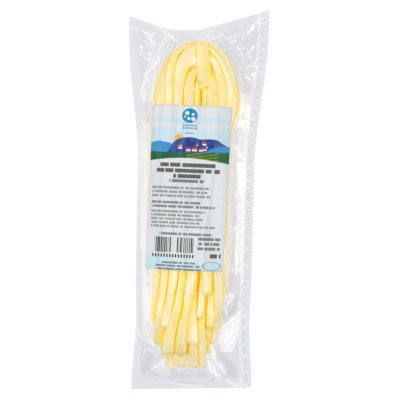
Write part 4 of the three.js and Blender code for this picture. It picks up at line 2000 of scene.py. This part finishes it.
    def side(self, heights: HeightField) -> bpy.types.Mesh:
        """Makes the front or the back of the film.

        Args:
            heights: Its heights. At the rim it keeps to the middle of the flaps.

        Returns:
            The mesh, with what the film's finish reads.
        """
        mesh, u, v = sheet(self.columns, self.rows)
        y = self.outline.bottom(u) + (self.outline.top(u) - self.outline.bottom(u)) * v
        x = self.outline.half_width(y) * (2 * u - 1)
        z = heights.at(x, y)
        rim = (u < 1e-6) | (u > 1 - 1e-6) | (v < 1e-6) | (v > 1 - 1e-6)
        z[rim] = self.outline.flap(x, y)[rim]
        write_points(mesh, np.column_stack([x, y, z]))
        left, right, ends = self.outline.inset(x, y)
        write_attribute(mesh, "margin", np.minimum(np.minimum(left, right), ends))
        write_attribute(mesh, "right_inset", right)
        write_attribute(mesh, "slack", self.slack.at(x, y))
        # painted highlights and painted shade of the folds
        write_attribute(mesh, "bright", self.bright.at(x, y))
        return mesh

    def build(self) -> bpy.types.Object:
        """Makes the film, front and back in one closed skin.

        Returns:
            The film.
        """
        front, back = self.side(self.front), self.side(self.back)
        back.flip_normals()
        skin = bmesh.new()
        for mesh in (front, back):
            skin.from_mesh(mesh)
            bpy.data.meshes.remove(mesh)
        rim_verts = [v for v in skin.verts if v.is_boundary]
        bmesh.ops.remove_doubles(skin, verts=rim_verts, dist=0.01 * MM)
        return show("film", new_mesh("film", skin), self.finish.material())


# ---------------------------------------------------------------- label


@dataclass
class Label:
    """The printed label on the front film."""

    finish: PrintFinish
    middle_x: float
    middle_y: float
    width: float = 61.6
    height: float = 128.4
    drop: float = 1.0  # how much lower it is stuck than the frame's
    tilt: float = 1.2
    right_shift: Point2 = (-1.4, 0.6)  # how far the right edge lies out, low and high
    thickness: float = 0.18
    gap: float = 0.06
    corner: float = 2.0
    columns: int = 60
    rows: int = 110

    def to_world(self, u: Array, v: Array) -> tuple[Array, Array]:
        """Turns shares of the label into places on the pack.

        Args:
            u: Shares of its width.
            v: Shares of its height.

        Returns:
            The places across and along.
        """
        turn = math.radians(self.tilt)
        low, high = self.right_shift
        across = (u - 0.5) * self.width + u * (low + (high - low) * v)
        up = (v - 0.5) * self.height
        x = self.middle_x + across * math.cos(turn) + up * math.sin(turn)
        return x, self.middle_y - self.drop - across * math.sin(turn) + up * math.cos(turn)

    def rounded(self, u: Array, v: Array) -> tuple[Array, Array]:
        """Draws the sheet's corners in, so that they are round.

        Args:
            u: Shares of its width.
            v: Shares of its height.

        Returns:
            The new shares.
        """
        across, up = (u - 0.5) * self.width, (v - 0.5) * self.height
        over_x = np.maximum(np.abs(across) - (self.width / 2 - self.corner), 0.0) / self.corner
        over_y = np.maximum(np.abs(up) - (self.height / 2 - self.corner), 0.0) / self.corner
        reach = np.maximum(over_x, over_y) / np.maximum(np.hypot(over_x, over_y), 1e-9)
        shrink = np.where((over_x > 0) & (over_y > 0), reach, 1.0)
        new_x = np.sign(across) * (np.abs(across) - over_x * self.corner * (1 - shrink))
        new_y = np.sign(up) * (np.abs(up) - over_y * self.corner * (1 - shrink))
        return new_x / self.width + 0.5, new_y / self.height + 0.5

    def build(self, film: Film) -> bpy.types.Object:
        """Makes the label on the film.

        Args:
            film: The film, in its final shape.

        Returns:
            The label.
        """
        mesh, u, v = sheet(self.columns, self.rows)
        u, v = self.rounded(u, v)
        x, y = self.to_world(u, v)
        write_points(mesh, np.column_stack([x, y, film.front.at(x, y) + self.gap + self.thickness]))
        shape = bmesh.new()
        shape.from_mesh(mesh)
        layer = shape.loops.layers.uv.new("print")
        for face in shape.faces:
            for loop in face.loops:
                index = loop.vert.index
                loop[layer].uv = (u[index], v[index])
        bmesh.ops.solidify(shape, geom=shape.faces[:], thickness=self.thickness * MM)
        shape.to_mesh(mesh)
        shape.free()
        return show("label_sheet", mesh, self.finish.material())


# ---------------------------------------------------------------- studio


@dataclass
class Softbox:
    """A square lamp that points at the pack. Its place and size are in metres."""

    name: str
    place: Point3
    size: Point2
    power: float


@dataclass
class Studio:
    """A white floor, soft lamps and a camera that looks straight down."""

    floor: FloorFinish
    floor_size: float = 3000.0
    floor_gap: float = 0.05
    sky: Point2 = (3.4, 0.3)  # how bright at the horizon, and overhead
    view: Point2 = (3.7, -0.4)
    view_width: float = 314.8
    camera_height: float = 1500.0
    camera_roll: float = 1.24
    sensor: float = 36.0
    lamps: tuple[Softbox, ...] = (
        Softbox("lamp_left", (-0.85, -0.1, 0.9), (0.22, 1.2), 6.2),
        Softbox("lamp_right", (0.85, -0.1, 0.9), (0.22, 1.2), 6.2),
        Softbox("lamp_top", (0.1, 0.75, 1.0), (1.2, 0.2), 4.2),
        Softbox("lamp_near", (-0.42, 0.1, 1.35), (0.18, 0.5), 2.2),
        Softbox("lamp_foot", (-0.1, -0.8, 0.9), (1.2, 0.25), 1.1),
    )

    def build(self) -> None:
        """Makes the floor, the lamps, the sky and the camera."""
        self.add_floor()
        for lamp in self.lamps:
            self.add_lamp(lamp)
        self.add_sky()
        self.add_camera()
        bpy.context.scene.view_settings.view_transform = "Standard"

    def add_floor(self) -> None:
        """Lays the floor."""
        mesh, u, v = sheet(1, 1)
        across, along = (u - 0.5) * self.floor_size, (v - 0.5) * self.floor_size
        write_points(mesh, np.column_stack([across, along, np.full_like(u, -self.floor_gap)]))
        show("floor", mesh, self.floor.material())

    def add_sky(self) -> None:
        """Lights the scene from all round, most from the horizon."""
        world = bpy.data.worlds.new("sky")
        world.use_nodes = True
        tree = world.node_tree
        place = tree.nodes.new("ShaderNodeTexCoord")
        parts = tree.nodes.new("ShaderNodeSeparateXYZ")
        fade = tree.nodes.new("ShaderNodeMapRange")
        fade.inputs["To Min"].default_value, fade.inputs["To Max"].default_value = self.sky
        tree.links.new(place.outputs["Generated"], parts.inputs[0])
        tree.links.new(parts.outputs["Z"], fade.inputs["Value"])
        tree.links.new(fade.outputs["Result"], tree.nodes["Background"].inputs["Strength"])
        bpy.context.scene.world = world

    def add_lamp(self, lamp: Softbox) -> None:
        """Hangs a lamp and points it at the pack.

        Args:
            lamp: The lamp.
        """
        data = bpy.data.lights.new(lamp.name, "AREA")
        data.shape = "RECTANGLE"
        data.size, data.size_y = lamp.size
        data.energy = lamp.power
        hung = bpy.data.objects.new(lamp.name, data)
        hung.location = lamp.place
        hung.rotation_euler = (-Vector(lamp.place)).to_track_quat("-Z", "Y").to_euler()
        bpy.context.scene.collection.objects.link(hung)

    def add_camera(self) -> None:
        """Hangs the camera over the pack."""
        data = bpy.data.cameras.new("camera")
        data.sensor_width = self.sensor
        data.lens = self.sensor * self.camera_height / self.view_width
        data.clip_end = 10.0
        camera = bpy.data.objects.new("camera", data)
        camera.location = (self.view[0] * MM, self.view[1] * MM, self.camera_height * MM)
        camera.rotation_euler = (0.0, 0.0, math.radians(self.camera_roll))
        bpy.context.scene.collection.objects.link(camera)
        bpy.context.scene.camera = camera


def in_frame(piece: bpy.types.Object, replaced: str) -> None:
    """Ties a piece to the frame.

    Args:
        piece: The piece.
        replaced: The frame's node that it stands for.
    """
    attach(piece, BODY)
    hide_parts(replaced)


def main() -> None:
    """Builds the pack around the frame and sets up the studio."""
    logging.basicConfig(level=logging.INFO, format="%(message)s")
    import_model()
    pouch_low, pouch_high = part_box("pouch")
    label_low, label_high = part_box("label")
    outline = PouchOutline(length=(pouch_high.y - pouch_low.y) / MM)
    hank = Hank(HankPlan(), CheeseFinish())
    hank.build()
    film = Film(outline, FilmFinish())
    film.shape(hank.pieces, (label_low, label_high))
    hank.measure_depth(film)
    skin = film.build()
    centre = (label_low + label_high) / 2 / MM
    label = Label(PrintFinish(), centre.x, centre.y).build(film)
    for piece in hank.pieces:
        in_frame(piece, "pouch")
    in_frame(skin, "pouch")
    in_frame(label, "label")
    Studio(FloorFinish()).build()


if __name__ == "__main__":
    main()
